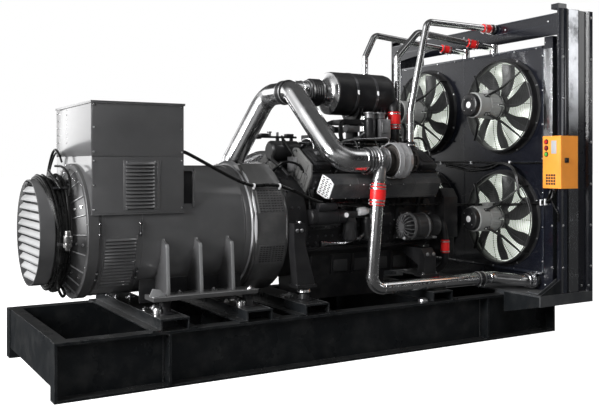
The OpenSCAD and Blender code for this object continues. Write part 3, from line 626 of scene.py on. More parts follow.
class Shape:
    """A gathering of closed shapes in the set's millimetres."""

    def __init__(self) -> None:
        """Starts with nothing."""
        self.mesh = bmesh.new()

    def take(self, part: bmesh.types.BMesh, matrix: Matrix | None = None) -> "Shape":
        """Adds a made shape and frees it.

        Args:
            part: the shape.
            matrix: where it is put, if not where it was made.

        Returns:
            This gathering.
        """
        if matrix is not None:
            bmesh.ops.transform(part, matrix=matrix, verts=part.verts)
        bmesh.ops.recalc_face_normals(part, faces=part.faces)
        spare = bpy.data.meshes.new("spare")
        part.to_mesh(spare)
        part.free()
        self.mesh.from_mesh(spare)
        bpy.data.meshes.remove(spare)
        return self

    def box(self, low: Point, high: Point, edge: float = 0.0, matrix: Matrix | None = None) -> "Shape":
        """Adds a box from its low corner to its high one, with its edges rounded by edge."""
        part = bmesh.new()
        bmesh.ops.create_cube(part, size=1.0)
        for vert in part.verts:
            vert.co = [a + (b - a) * (c + 0.5) for a, b, c in zip(low, high, vert.co)]
        if edge:
            bmesh.ops.bevel(part, geom=part.edges[:], offset=edge, segments=2, affect="EDGES", profile=0.6)
        return self.take(part, matrix)

    def block(self, one: Point, other: Point, edge: float = 0.0) -> None:
        """Adds a box between any two opposite corners, such as those of a mirrored part."""
        low, high = zip(*(sorted(ends) for ends in zip(one, other)))
        self.box(low, high, edge)

    def prism(
        self, outline: Sequence[tuple[float, float]], start: float, length: float, axis: str = "X",
        edge: float = 0.0, matrix: Matrix | None = None,
    ) -> "Shape":
        """Adds an outline pulled along an axis.

        Args:
            outline: corners in (y, z) for X, (x, z) for Y or (x, y) for Z.
            start: where it starts on the axis.
            length: how far it is pulled, either way.
            axis: X, Y or Z.
            edge: how much its edges are rounded.
            matrix: where it is put.

        Returns:
            This gathering.
        """
        order = {"X": (2, 0, 1), "Y": (0, 2, 1), "Z": (0, 1, 2)}[axis]
        start, length = min(start, start + length), abs(length)
        part = bmesh.new()
        near, far = (
            [part.verts.new([(a, b, start + k * length)[i] for i in order])
                for a, b in outline] for k in (0, 1)
        )
        part.faces.new(near)
        part.faces.new(far[::-1])
        for k in range(len(near)):
            part.faces.new((near[k - 1], near[k], far[k], far[k - 1]))
        bmesh.ops.recalc_face_normals(part, faces=part.faces)
        if edge:
            bmesh.ops.bevel(part, geom=part.edges[:], offset=edge, segments=2, affect="EDGES", profile=0.6)
        return self.take(part, matrix)

    def turned(
        self, profile: Sequence[tuple[float, float]], centre: Point, axis: Point = RIGHT, sides: int = 40,
        start: float = 0.0, span: float = 360.0, matrix: Matrix | None = None,
    ) -> None:
        """Adds an outline of (along, radius) turned about an axis.

        Args:
            profile: a loop of corners, or a run that starts and ends at radius 0.
            centre: the point at which along is 0.
            axis: the axis' direction.
            sides: pieces in a full turn.
            start: where the turn starts, in degrees.
            span: how far it goes.
            matrix: where it is put.
        """
        part = bmesh.new()
        whole = span >= 360.0
        count = sides if whole else max(2, round(sides * span / 360)) + 1
        rings = []
        for k in range(count):
            a = radians(start + span * k / (count if whole else count - 1))
            rings.append([part.verts.new((x, r * sin(a), r * cos(a))) for x, r in profile])
        loop = range(len(profile)) if profile[0][1] > 0 and profile[-1][1] > 0 else range(1, len(profile))
        for k in range(0 if whole else 1, count):
            for i in loop:
                part.faces.new((rings[k - 1][i - 1], rings[k - 1][i], rings[k][i], rings[k][i - 1]))
        if not whole:
            part.faces.new(rings[0])
            part.faces.new(rings[-1][::-1])
        bmesh.ops.remove_doubles(part, verts=part.verts, dist=0.001)
        put = standing(centre, axis)
        self.take(part, put if matrix is None else matrix @ put)

    def band(
        self, start: float, end: float, inner: float, outer: float, centre: Point, axis: Point = RIGHT,
        sides: int = 40,
    ) -> None:
        """Adds a plain ring, or a disc where inner is 0.

        Args:
            start: where it starts on the axis.
            end: where it ends.
            inner: its inside radius.
            outer: its outside radius.
            centre: the point at which start is measured from.
            axis: the axis' direction.
            sides: how many flats it has.
        """
        self.turned([(start, inner), (start, outer), (end, outer), (end, inner)], centre, axis, sides)

    def tube(self, path: Sequence[Point], radius: float | Sequence[float], sides: int = 20) -> "Shape":
        """Adds a round tube along a path.

        Args:
            path: the points of its middle line.
            radius: its radius, or one for each point.
            sides: how many flats it has.

        Returns:
            This gathering.
        """
        path = [Vector(p) for p in path]
        radii = list(radius) if isinstance(radius, (list, tuple)) else [radius] * len(path)
        part = bmesh.new()
        along = [(path[min(k + 1, len(path) - 1)] - path[max(k - 1, 0)]).normalized()
            for k in range(len(path))]
        side = along[0].orthogonal().normalized()
        rings = []
        for k, (point, way) in enumerate(zip(path, along)):
            if k:
                side = along[k - 1].rotation_difference(way) @ side
                side = (side - way * side.dot(way)).normalized()
            other = way.cross(side)
            rings.append([part.verts.new(point + (side * cos(tau * i / sides)
                                                  + other * sin(tau * i / sides)) * radii[k])
                          for i in range(sides)])
        for a, b in zip(rings, rings[1:]):
            for i in range(sides):
                part.faces.new((a[i - 1], a[i], b[i], b[i - 1]))
        part.faces.new(rings[0])
        part.faces.new(rings[-1][::-1])
        return self.take(part)

    def ring(
        self, centre: Point, axis: Point, radius: float, wire: float, sides: int = 40, flats: int = 8
    ) -> None:
        """Adds a round wire bent to a ring."""
        turns = [tau * k / flats for k in range(flats)]
        self.turned([(wire * cos(a), radius + wire * sin(a)) for a in turns], centre, axis, sides)

    def clamp(
        self, centre: Point, axis: Point, radius: float, wide: float = 12.0, lug: float = 0.0
    ) -> None:
        """Adds a worm-drive hose clamp: a band, its screw's housing and the screw.

        Args:
            centre: the band's middle.
            axis: the hose's direction.
            radius: the band's inside radius.
            wide: the band's width.
            lug: angle of the housing round the hose, in degrees.
        """
        h = wide / 2
        self.band(-h, h, radius, radius + 2.4, centre, axis, 32)
        put = standing(centre, axis) @ Matrix.Rotation(radians(lug), 4, "X")
        self.box((-h - 1, -13, radius + 1.5), (h + 1, 13, radius + 10), 2, put)
        screw = [(-20, 0), (-20, 5.4), (-13, 5.4), (-13, 3.4), (20, 3.4), (20, 0)]
        self.turned(screw, (0, 0, radius + 6.5), FAR, 10, matrix=put)


class Repeat(Tree):
    """A Geometry Nodes tree, built once, that repeats a shape."""

    def __init__(self, name: str, **sockets: str) -> None:
        """Starts a tree with its named inputs.

        Args:
            name: the tree's name.
            **sockets: socket type of each input between the geometry and the material.
        """
        super().__init__(bpy.data.node_groups.new(name, "GeometryNodeTree"))
        for title, kind in {"Geometry": "Geometry", **sockets, "Material": "Material"}.items():
            self.tree.interface.new_socket(title, in_out="INPUT", socket_type=f"NodeSocket{kind}")
        self.tree.interface.new_socket("Geometry", in_out="OUTPUT", socket_type="NodeSocketGeometry")
        self.entry = self.node("NodeGroupInput")
        self.leave = self.node("NodeGroupOutput")

    def __getitem__(self, title: str) -> Value:
        """One of the tree's inputs."""
        return Value(self, self.entry.outputs[title])

    def place_on(self, points: Value, item: Value, **inputs: object) -> Value:
        """Sets an item on every point."""
        return self.value("GeometryNodeInstanceOnPoints", {}, {"Points": points, "Instance": item,
            **inputs})

    def end(self, made: Value) -> "Repeat":
        """Ends the tree in real geometry with its material."""
        real = self.value("GeometryNodeRealizeInstances", {}, {0: made})
        dressed = self.value("GeometryNodeSetMaterial", {},
            {"Geometry": real, "Material": self["Material"]})
        self.tree.links.new(dressed.socket, self.leave.inputs[0])
        return self

    @classmethod
    @cache
    def row(cls) -> "Repeat":
        """Repeats the shape by steps along a line and turns about its origin."""
        t = cls("row", Count="Int", Step="Vector", Turn="Vector")
        line = t.value("GeometryNodeMeshLine", {}, {"Count": t["Count"], "Offset": t["Step"]})
        index = t.value("GeometryNodeInputIndex")
        turn = t.value("ShaderNodeVectorMath", {"operation": "SCALE"}, {0: t["Turn"], "Scale": index})
        return t.end(t.place_on(line, t["Geometry"], Rotation=turn))

    @classmethod
    @cache
    def fastenings(cls) -> "Repeat":
        """Sets a head on every point, turned to the point's facing and scaled to its size."""
        t = cls("fastenings", Head="Object")
        head = t.value("GeometryNodeObjectInfo", {}, {"Object": t["Head"]}, "Geometry")
        facing, size = (
            t.value("GeometryNodeInputNamedAttribute", {"data_type": kind}, {"Name": name})
            for kind, name in (("FLOAT_VECTOR", "facing"), ("FLOAT", "size"))
        )
        turn = t.value("FunctionNodeAlignRotationToVector", {"axis": "Z"}, {"Vector": facing})
        return t.end(t.place_on(t["Geometry"], head, Rotation=turn, Scale=size))

    @classmethod
    @cache
    def guard(cls) -> "Repeat":
        """Wire rings of growing radius that bulge towards -X, for a fan guard."""
        t = cls("guard", Rings="Int", Inner="Float", Outer="Float", Bulge="Float", Wire="Float")
        line = t.value("GeometryNodeMeshLine", {}, {"Count": t["Rings"], "Offset": (0, 0, 0)})
        share = t.value("GeometryNodeInputIndex") / (t["Rings"] - 1.0)
        depth = (share ** 2.2).spread(0.0, 1.0, 0.0, t["Bulge"])
        place = t.value("ShaderNodeCombineXYZ", {}, {0: depth})
        moved = t.value("GeometryNodeSetPosition", {}, {"Geometry": line, "Offset": place})
        circle = t.value("GeometryNodeCurvePrimitiveCircle", {}, {"Resolution": 72, "Radius": 1.0})
        radius = share.spread(0.0, 1.0, t["Inner"], t["Outer"])
        rings = t.place_on(moved, circle, Rotation=(0, pi / 2, 0), Scale=radius)
        real = t.value("GeometryNodeRealizeInstances", {}, {0: rings})
        section = t.value("GeometryNodeCurvePrimitiveCircle", {}, {"Resolution": 5, "Radius": t["Wire"]})
        return t.end(t.value("GeometryNodeCurveToMesh", {}, {"Curve": real, "Profile Curve": section}))

    def run(self, mesh: bpy.types.Mesh, values: dict[str, object]) -> bpy.types.Mesh:
        """Runs the tree on a mesh and returns the plain mesh it makes.

        Args:
            mesh: the mesh it starts from, which is used up.
            values: value of each named input.

        Returns:
            The finished mesh.
        """
        holder = bpy.data.objects.new("holder", mesh)
        bpy.context.scene.collection.objects.link(holder)
        modifier = holder.modifiers.new("nodes", "NODES")
        modifier.node_group = self.tree
        for item in self.tree.interface.items_tree:
            if item.in_out == "INPUT" and item.name in values:
                modifier[item.identifier] = values[item.name]
        graph = bpy.context.evaluated_depsgraph_get()
        made = bpy.data.meshes.new_from_object(holder.evaluated_get(graph))
        bpy.data.objects.remove(holder)
        bpy.data.meshes.remove(mesh)
        return made


class Head(Enum):
    """The kinds of fastening, each for a thread of 1 mm."""

    HEX = "hex"
    NUT = "nut"
    DOME = "dome"
    CAP = "cap"

    def shape(self) -> Shape:
        """The head, standing up along Z from the face it clamps."""
        washer = ([(0, 0), (0, 1.15), (0.16, 1.15), (0.16, 0)], 14)
        hexagon = ([(0.1, 0), (0.1, 0.98), (0.72, 0.98), (0.84, 0.8), (0.84, 0)], 6)
        stud = ([(0.8, 0), (0.8, 0.5), (1.25, 0.5), (1.32, 0.4), (1.32, 0)], 8)
        dome = ([(0, 0), (0, 0.95), (0.2, 0.95), (0.42, 0.8), (0.6, 0.42), (0.64, 0)], 12)
        cap = ([(0, 0), (0, 0.8), (0.85, 0.8), (0.95, 0.7), (0.95, 0.42), (0.55, 0.4), (0.55, 0)], 12)
        kinds = {Head.HEX: (washer, hexagon), Head.NUT: (washer, hexagon, stud), Head.DOME: (dome,),
            Head.CAP: (cap,)}
        s = Shape()
        for profile, sides in kinds[self]:
            s.turned(profile, (0, 0, 0), UP, sides)
        return s

    def sized(self, thread: float) -> bmesh.types.BMesh:
        """The mesh of one head for a thread of that size."""
        mesh = self.shape().mesh
        bmesh.ops.scale(mesh, vec=(thread,) * 3, verts=mesh.verts)
        return mesh


class Piece(Shape):
    """One named piece of one finish that moves with one body."""

    def __init__(
        self, name: str, finish: "Finish", slot: str, body: str = "set", angle: float = 34.0
    ) -> None:
        """Starts a piece.

        Args:
            name: the piece's name.
            finish: its finish.
            slot: the record's material slot; it is not used.
            body: the body that it moves with.
            angle: the sharpest angle that is still shaded smooth.
        """
        super().__init__()
        self.name, self.finish, self.slot, self.body, self.angle = name, finish, slot, body, angle

    def absorb(self, mesh: bpy.types.Mesh, matrix: Matrix | None = None) -> None:
        """Adds a made mesh and removes it."""
        part = bmesh.new()
        part.from_mesh(mesh)
        bpy.data.meshes.remove(mesh)
        self.take(part, matrix)

    def repeat(
        self, shape: Shape, count: int, step: Point = (0, 0, 0), turn: Point = (0, 0, 0),
        about: Point = (0, 0, 0),
    ) -> None:
        """Adds a shape many times over.

        Args:
            shape: the shape, in place for the first time; it is used up.
            count: how many there are.
            step: how far each is from the last.
            turn: how far each is turned from the last, in degrees about X, Y and Z.
            about: the point that they turn about.
        """
        bmesh.ops.translate(shape.mesh, vec=-Vector(about), verts=shape.mesh.verts)
        mesh = bpy.data.meshes.new("item")
        shape.mesh.to_mesh(mesh)
        shape.mesh.free()
        turns = [radians(a) for a in turn]
        values = {"Count": count, "Step": step, "Turn": turns, "Material": self.finish.material()}
        self.absorb(Repeat.row().run(mesh, values), Matrix.Translation(Vector(about)))

    def fasten(self, kind: Head, spots: Sequence[Spot]) -> None:
        """Adds bolts, nuts or rivets.

        Args:
            kind: the kind of head.
            spots: place, facing and thread size of each.
        """
        head = bpy.data.meshes.new("head")
        shape = kind.shape()
        shape.mesh.to_mesh(head)
        shape.mesh.free()
        holder = bpy.data.objects.new("head", head)
        points = bpy.data.meshes.new("points")
        points.from_pydata([place for place, _, _ in spots], [], [])
        points.attributes.new("facing", "FLOAT_VECTOR", "POINT")
        points.attributes.new("size", "FLOAT", "POINT")
        points.attributes["facing"].data.foreach_set("vector", [c for _, way, _ in spots for c in way])
        points.attributes["size"].data.foreach_set("value", [thread for *_, thread in spots])
        made = Repeat.fastenings().run(points, {"Head": holder, "Material": self.finish.material()})
        bpy.data.objects.remove(holder)
        bpy.data.meshes.remove(head)
        self.absorb(made)

    def done(self, *stands_for: str) -> None:
        """Turns what was gathered into the finished piece.

        Args:
            *stands_for: the model's nodes that it replaces.
        """
        bmesh.ops.transform(self.mesh, matrix=Datum.matrix(), verts=self.mesh.verts)
        mesh = bpy.data.meshes.new(self.name)
        self.mesh.to_mesh(mesh)
        self.mesh.free()
        mesh.materials.clear()
        mesh.materials.append(self.finish.material())
        for polygon in mesh.polygons:
            polygon.material_index = 0
        mesh.shade_smooth()
        mesh.set_sharp_from_angle(angle=radians(self.angle))
        made = bpy.data.objects.new(self.name, mesh)
        bpy.context.scene.collection.objects.link(made)
        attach(made, self.body)
        if stands_for:
            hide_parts(*stands_for)
        log.info("%s: %d faces", self.name, len(mesh.polygons))


# --- the fans


@dataclass
class Fans:
    """The four electric fans: rotors, wire guards, motors and their bolts."""

    face: float = 3736.0
    centres: tuple[tuple[float, float], ...] = ((-490, 1864), (490, 1864), (-490, 944), (490, 944))
    blades: int = 7
    hub: float = 90.0
    tip: float = 350.0
    middle: float = 3683.0
    first_gap: float = -0.7

    def blade(self) -> Shape:
        """One sickle blade about the X axis, its middle line starting straight up."""
        part = bmesh.new()
        spans, chords = 12, 8
        grid: dict[tuple[int, int, int], bmesh.types.BMVert] = {}
        for i in range(spans + 1):
            t = i / spans
            r = self.hub - 6 + (self.tip - self.hub + 6) * t
            sweep = radians(-6 + 17 * t ** 1.6)
            wide = radians(16.0 - 4.5 * t)
            pitch = radians(38 - 14 * t)
            for j in range(chords + 1):
                u = 2 * j / chords - 1
                round_off = 1 - 0.35 * max(0.0, t - 0.8) * 5 * max(0.0, u) ** 2
                angle = sweep + wide * u * round_off
                rise = -tan(pitch) * wide * u * r * 0.62 + 9 * (1 - u * u)
                rise = max(-15.0, min(15.0, rise))
                for side in (0, 1):
                    thick = (0.8 + 2.4 * (1 - u * u)) * (1 - 2 * side)
                    grid[i, j, side] = part.verts.new((rise + thick, r * sin(angle), r * cos(angle)))
        for i in range(spans):
            for j in range(chords):
                for side in (0, 1):
                    part.faces.new([grid[i + a, j + b, side] for a, b in ((0, 0), (0, 1), (1, 1), (1, 0))])
        for i in range(spans):
            for j in (0, chords):
                part.faces.new([grid[i, j, 0], grid[i + 1, j, 0], grid[i + 1, j, 1], grid[i, j, 1]])
        for j in range(chords):
            for i in (0, spans):
                part.faces.new([grid[i, j, 0], grid[i, j + 1, 0], grid[i, j + 1, 1], grid[i, j, 1]])
        return Shape().take(part)

    def rotor(self, number: int, y: float, z: float) -> None:
        """One rotor, which turns with its fan.

        Args:
            number: the fan's number.
            y: where its shaft is.
            z: how high its shaft is.
        """
        piece = Piece(f"rotor_{number}", Finish.BLADE, "fan_black", f"fan_{number}", 40)
        centre = (self.middle, y, z)
        blade = self.blade()
        first = radians(self.first_gap + 180 / self.blades)
        turn = Matrix.Translation(centre) @ Matrix.Rotation(first, 4, "X")
        bmesh.ops.transform(blade.mesh, matrix=turn, verts=blade.mesh.verts)
        piece.repeat(blade, self.blades, turn=(360 / self.blades, 0, 0), about=centre)
        piece.turned([(-28, 0), (-28, 60), (-26, 78), (-18, 90), (24, 92), (28, 86), (28, 0)], centre,
            sides=48)
        piece.band(-120, -27, 0, 19, centre, sides=32)
        rib = Shape().box((self.middle - 29.5, y + 66, z - 2), (self.middle - 20, y + 84, z + 2), 0.8)
        piece.repeat(rib, 14, turn=(360 / 14, 0, 0), about=centre)
        piece.done(f"fan_rotor_{number}")

    def guard(self, number: int, y: float, z: float) -> None:
        """The dished wire guard in front of one fan, with its spokes.

        Args:
            number: the fan's number.
            y: where its shaft is.
            z: how high its shaft is.
        """
        piece = Piece(f"fan_guard_{number}", Finish.WIRE, "fan_ring_black")
        sizes = {"Rings": 18, "Inner": 112.0, "Outer": 364.0, "Bulge": 46.0, "Wire": 1.7}
        rings = Repeat.guard().run(bpy.data.meshes.new("start"),
            {**sizes, "Material": piece.finish.material()})
        piece.absorb(rings, Matrix.Translation((self.face - 132, y, z)))
        reach = [(0.0, 0.0), (0.3, 3.2), (0.5, 9.9), (0.7, 21.0), (0.85, 32.2), (1.0, 46.0)]
        spoke = Shape().tube([(self.face - 129 + x, y, z + 108 + 260 * t) for t, x in reach], 2.2, 6)
        piece.repeat(spoke, 12, turn=(30, 0, 0), about=(0, y, z))
        for radius, x in ((108, -132), (368, -84)):
            piece.ring((self.face + x, y, z), RIGHT, radius, 3.2, 64, 6)
        piece.done()

    def motors(self) -> None:
        """The motors with their end caps, the arms and the terminal boxes."""
        body = Piece("fan_motor_bodies", Finish.MOTOR, "motor_grey")
        caps = Piece("fan_motor_caps", Finish.CAP, "fan_ring_black")
        arms = Piece("fan_arms", Finish.FAN_METAL, "fan_ring_black")
        bright = Piece("fan_bright_parts", Finish.ZINC, "motor_grey")
        hubs = Piece("fan_shaft_caps", Finish.PLATE, "motor_grey")
        back = self.face - 400
        for y, z in self.centres:
            centre = (back, y, z)
            body.turned([(44, 60), (44, 96), (50, 103), (150, 103), (154, 99), (160, 99), (164, 103),
                (298, 103), (306, 96), (306, 24), (150, 24), (150, 60)], centre, sides=56)
            fin = Shape().box((back + 168, y + 100, z - 1.5), (back + 292, y + 106, z + 1.5), 0.8)
            body.repeat(fin, 30, turn=(12, 0, 0), about=centre)
            body.box((back + 180, y - 34, z + 96), (back + 262, y + 34, z + 128), 5)
            caps.turned([(14, 0), (14, 22), (2, 26), (0, 34), (0, 78), (5, 88), (16, 93), (90, 93),
                (90, 0)], centre, sides=56)
            slot = Shape().box((back + 30, y - 2, z + 91.5), (back + 76, y + 2, z + 94.5), 0.8)
            caps.repeat(slot, 24, turn=(15, 0, 0), about=centre)
            hubs.turned([(-1, 0), (-1, 23), (1, 26), (14, 26), (14, 0)], centre, sides=28)
            bright.box((back + 226, y - 112, z - 9), (back + 286, y - 98, z + 9), 4)
            for a in (45, 135, 225, 315):
                turn = Matrix.Translation((0, y, z)) @ Matrix.Rotation(radians(a), 4, "X")
                leg = [(back + 114, 96), (back + 150, 96), (back + 250, 190), (self.face - 86, 342),
                    (self.face - 80, 378), (self.face - 10, 379), (self.face - 10, 389),
                    (self.face - 92, 389), (self.face - 100, 350), (back + 226, 204)]
                arms.prism(leg, -4, 8, "Y", 1.2, turn)
                arms.box((back + 108, -15, 92), (back + 162, 15, 108), 3, turn)
                for x in (122, 148):
                    bright.take(Head.HEX.sized(9), turn @ Matrix.Translation((back + x, 0, 108)))
            bright.fasten(Head.CAP, around((back + 0.5, y, z), 62, range(45, 360, 90), 5.5))
        body.done("fan_motors")
        caps.done()
        arms.done()
        bright.done()
        hubs.done()

    def rings(self) -> None:
        """The moulded ring round each fan, its seat and its bolts."""
        ring = Piece("fan_mouths", Finish.FAN_METAL, "fan_ring_black")
        bolts = Piece("fan_ring_bolts", Finish.ZINC, "motor_grey")
        x = self.face
        for y, z in self.centres:
            ring.turned([(-62, 360), (-70, 364), (-74, 372), (-73, 378), (-68, 379), (-64, 372),
                (-60, 368), (-48, 368), (-10, 375), (-8, 398), (-0.4, 398), (-0.4, 366), (-16, 366),
                (-26, 360)], (x, y, z), sides=96)
            bolts.fasten(Head.HEX, around((x - 8, y, z), 389, [22.5 + 45 * k for k in range(8)], 7.5))
        ring.done("fan_rings")
        bolts.done()

    def build(self) -> None:
        """Builds all four fans."""
        for number, (y, z) in enumerate(self.centres, 1):
            self.rotor(number, y, z)
            self.guard(number, y, z)
        self.motors()
        self.rings()


# --- the alternator


@dataclass
class Alternator:
    """The generator end: housing, bell, terminal box, cable bundle and drive shroud."""

    shaft: float = 940.0
    radius: float = 436.0
    near: float = -436.0
    inlet: float = 337.0

    def skin(self, height: float) -> Matrix:
        """Turns -Y to face out of the housing's near side at a height.

        Args:
            height: the height above the ground.

        Returns:
            A turn about the shaft's line.
        """
        turn = Matrix.Rotation(asin((self.shaft - height) / self.radius), 4, "X")
        return Matrix.Translation((0, 0, self.shaft)) @ turn

    def box(self) -> None:
        """The terminal box's folded panels, screws, rivets and louvre."""
        panels = Piece("box_panels", Finish.ALTERNATOR, "alternator_paint")
        screws = Piece("box_screws", Finish.ZINC, "alternator_paint")
        dark = Piece("louvre_shadows", Finish.SUMP, "alternator_paint")
        y = self.near
        for low, high in ((1436, 1773), (1074, 1427)):
            panels.box((295.5, y - 2.6, low), (900.5, y, high), 1.2)
        panels.box((289.4, -431, 1436), (292, 431, 1773), 1.2)
        panels.box((284.5, -443.8, 1766), (911.5, -441.6, 1782), 0.8)
        panels.box((284.5, -443, 1766), (286.5, 443, 1782), 0.8)
        panels.box((288, -440, 1064), (908, -402, 1072), 1.5)
        spots = [(x, y - 2.6, z) for x, z in ((305, 1755), (305, 1615), (305, 1462), (890, 1755),
            (890, 1612), (890, 1462), (305, 1405), (305, 1250), (305, 1098), (890, 1405), (890, 1098))]
        screws.fasten(Head.HEX, [(p, NEAR, 5.5) for p in spots])
        screws.fasten(Head.DOME, [((289.4, 154, 1529 + 32 * k), LEFT, 5) for k in range(8)])
        screws.fasten(Head.DOME, [((289.4, 404, 1480 + 52 * k), LEFT, 5) for k in range(6)])
        panels.box((496, y - 6.2, 1089), (741.5, y - 2, 1407), 1.6)
        for x, proud, r in ((724, 7, 3.2), (734, 6, 2.0)):
            panels.tube([(x, y - proud, 1094), (x, y - proud, 1402)], r, 8)
        hood = Shape().prism([(y - 6, 1400), (y - 17, 1385), (y - 18, 1380), (y - 15, 1381),
            (y - 6, 1390)], 508, 190, "X", 1.4)
        panels.repeat(hood, 13, (0, 0, -23.2))
        shade = Shape().box((510, y - 6.9, 1373), (696, y - 5.8, 1384), 0.3)
        dark.repeat(shade, 13, (0, 0, -23.2))
        screws.fasten(Head.HEX, [((x, y - 6.2, z), NEAR, 6) for x in (515, 705) for z in (1397, 1099)])
        panels.done("box_louvre")
        screws.done()
        dark.done()

    def louvre(self) -> None:
        """The curved louvre on the housing's side and the two latches over it."""
        cover = Piece("housing_louvre", Finish.ALTERNATOR, "alternator_paint")
        dark = Piece("housing_louvre_shadows", Finish.SUMP, "alternator_paint")
        latch = Piece("housing_latches", Finish.SUMP, "alternator_paint")
        bright = Piece("latch_bolts", Finish.ZINC, "alternator_paint")
        r = self.radius
        for side in (1, -1):
            flip = Matrix.Scale(side, 4, FAR)
            cover.turned([(368, r - 2), (368, r + 4), (590, r + 4), (590, r - 2)], (0, 0, self.shaft),
                         sides=120, start=-143, span=52, matrix=flip)
            for x in (372, 586):
                edge = [(x - 4, r), (x - 3, r + 9), (x + 3, r + 9), (x + 4, r)]
                cover.turned(edge, (0, 0, self.shaft), sides=120, start=-143, span=52, matrix=flip)
            for k in range(15):
                put = flip @ self.skin(906 - 21.5 * k)
                cover.prism([(-r - 3, 7), (-r - 12, -4), (-r - 12.5, -7), (-r - 3, -1)], 380, 200, "X", 1,
                    put)
                dark.box((382, -r - 4.9, -13), (578, -r - 3.4, -5), 0.3, put)
        for x in (342, 606):
            for low, high in ((930, 1016), (640, 716)):
                put = self.skin((low + high) / 2)
                half = (high - low) / 2
                latch.box((x - 11, -r - 12, -half), (x + 11, -r + 2, -half + 22), 3, put)
                latch.box((x - 11, -r - 12, half - 22), (x + 11, -r + 2, half), 3, put)
                latch.tube([put @ Vector((x, -r - 10, -half - 8)), put @ Vector((x, -r - 10, half + 8))],
                    5, 10)
                out = put.to_3x3() @ Vector(NEAR)
                for z, thread in ((half - 11, 7), (11 - half, 6)):
                    bright.fasten(Head.HEX, [(put @ Vector((x, -r - 12, z)), out, thread)])
        cover.done("stator_louvre")
        dark.done()
        latch.done()
        bright.done()

    def bell(self) -> None:
        """The ribbed end bell with its bolt pairs and the collars on the housing."""
        bell = Piece("end_bell", Finish.RAIL, "alternator_paint")
        bolts = Piece("bell_bolts", Finish.ZINC, "alternator_paint")
        c = (0, 0, self.shaft)
        bell.turned([(92.5, 250), (92.5, 322), (203, 322), (206, 332), (270, 408), (272, 410), (268, 414),
            (268, 444), (272, 448), (336, 448), (342, 443), (342, 400), (300, 250)], c, sides=110)
        bell.band(341, 359.7, 400, 436, c, sides=110)
        rib = Shape().prism([(205, 325), (206, 343), (262, 413), (270, 416), (272, 405)], self.shaft - 3,
            6, "Z", 1.2)
        # the ribs take a lighter grey than the bell: painted highlight on the ribs
        ribs = Piece("bell_ribs", Finish.FOOT, "alternator_paint")
        ribs.repeat(rib, 20, turn=(18, 0, 0), about=c)
        for x, r in ((219, 347), (254, 389)):
            bolts.fasten(Head.NUT, around((x, 0, self.shaft), r, range(9, 369, 36), 8.5, -0.76, 0.65))
        bolts.fasten(Head.HEX, around((262, 0, self.shaft), 443, range(9, 369, 18), 4))
        bell.done("rear_bell")
        ribs.done()
        bolts.done()
        ring = Piece("inlet_rim", Finish.RAIL, "slat_paint")
        ring.turned([(0, 337.5), (0, 344.5), (3, 345), (3, 337.5)], c, sides=96)
        ring.done()
        # darker strips under each inlet slat: painted shade
        lips = Piece("slat_lips", Finish.FOOT, "slat_paint")
        for i in range(1, 12):
            h = self.inlet * (i / 6 - 1)
            wide = sqrt(self.inlet ** 2 - max(h + 2, 22 - h) ** 2) - 6
            lip = [(5.2, -20), (7.6, -21), (9.2, -11.5), (6.4, -11.0)]
            lips.prism([(x, self.shaft + h + z) for x, z in lip], -wide, 2 * wide, "Y")
        lips.done()
        seam = Piece("housing_seams", Finish.ALTERNATOR, "alternator_paint")
        for x in (384, 622, 1352):
            r = self.radius
            seam.turned([(x, r - 3), (x + 1, r + 1.5), (x + 7, r + 1.5), (x + 8, r - 3)], c, sides=110)
        seam.turned([(1366, 420), (1366, 437), (1376, 440), (1404, 440), (1409.5, 436), (1409.5, 420)], c,
            sides=110)
        seam.done()

    def bundle(self) -> None:
        """The loose turns of cable that hang on the bell's neck, and their plug."""
        cables = Piece("cable_turns", Finish.CABLE, "cable_black")
        for k in range(16):
            p = k * 2.399
            thick = 8.5 + 3.0 * (0.5 + 0.5 * sin(p * 1.7))
            x0, r0 = 112 + 4.4 * k, 336 + 9 * (k % 3) + 10 * (0.5 + 0.5 * sin(p))
            path = []
            for i in range(57):
                a = tau * i / 56
                r = max(r0 + 8 * sin(a * 2 + p) + 4 * sin(5 * a + 2 * p) + 14 * max(0.0, -cos(a)),
                    324 + thick)
                x = x0 + 13 * sin(a + p) + 5 * sin(3 * a + p)
                path.append((min(186.0, max(112.0, x)), r * sin(a), self.shaft + r * cos(a)))
            cables.tube(path, thick, 9)
        for path, r in (
            ([(150, -250, 1230), (120, -180, 1302), (118, -60, 1336), (150, 60, 1342), (180, 150, 1310)],
                9),
            ([(190, -300, 1180), (206, -262, 1250), (214, -180, 1322), (206, -60, 1366), (190, 60, 1372)],
                8),
            ([(240, 140, 1440), (236, 230, 1482), (238, 330, 1462), (236, 410, 1384), (224, 424, 1296),
                (200, 380, 1190)], 9),
            ([(248, 120, 1400), (246, 200, 1462), (246, 310, 1448), (240, 396, 1370), (220, 404, 1270),
                (186, 360, 1170)], 7),
            ([(120, -300, 650), (112, -340, 610), (140, -320, 560), (176, -240, 560), (180, -160, 590)], 9),
            ([(110, -366, 880), (104, -372, 780), (106, -340, 700), (104, -240, 642), (108, -120, 620)],
                3.5),
        ):
            cables.tube(flowing(path), r, 10)
        for k in range(7):
            lift, first = 353 + 9 * (k % 3), 34 + 11 * k
            path = []
            for i in range(25):
                a = radians(-62 + (178 + 6 * k) * i / 24)
                x = first + (150 - first) * (abs(i - 8) / (8 if i < 8 else 16)) ** 1.3
                path.append((x, -lift * sin(a), self.shaft + lift * cos(a)))
            cables.tube(path, 7.5 + (k % 3), 9)
        cables.done("cable_coil")
        ties = Piece("cable_ties", Finish.HOSE_BLACK, "cable_black")
        for a in (35, 150, 262, 320):
            put = Matrix.Translation((0, 0, self.shaft)) @ Matrix.Rotation(radians(-a), 4, "X")
            ties.box((102, -9, 322), (198, 9, 327), 2, put)
            ties.box((102, -9, 378), (198, 9, 386), 2, put)
            ties.box((102, -9, 324), (108, 9, 384), 2, put)
        ties.done()
        plug = Piece("plug", Finish.BRASS, "brass")
        low, up = Vector((150, -412, 852)), Vector((0, -0.06, 1))
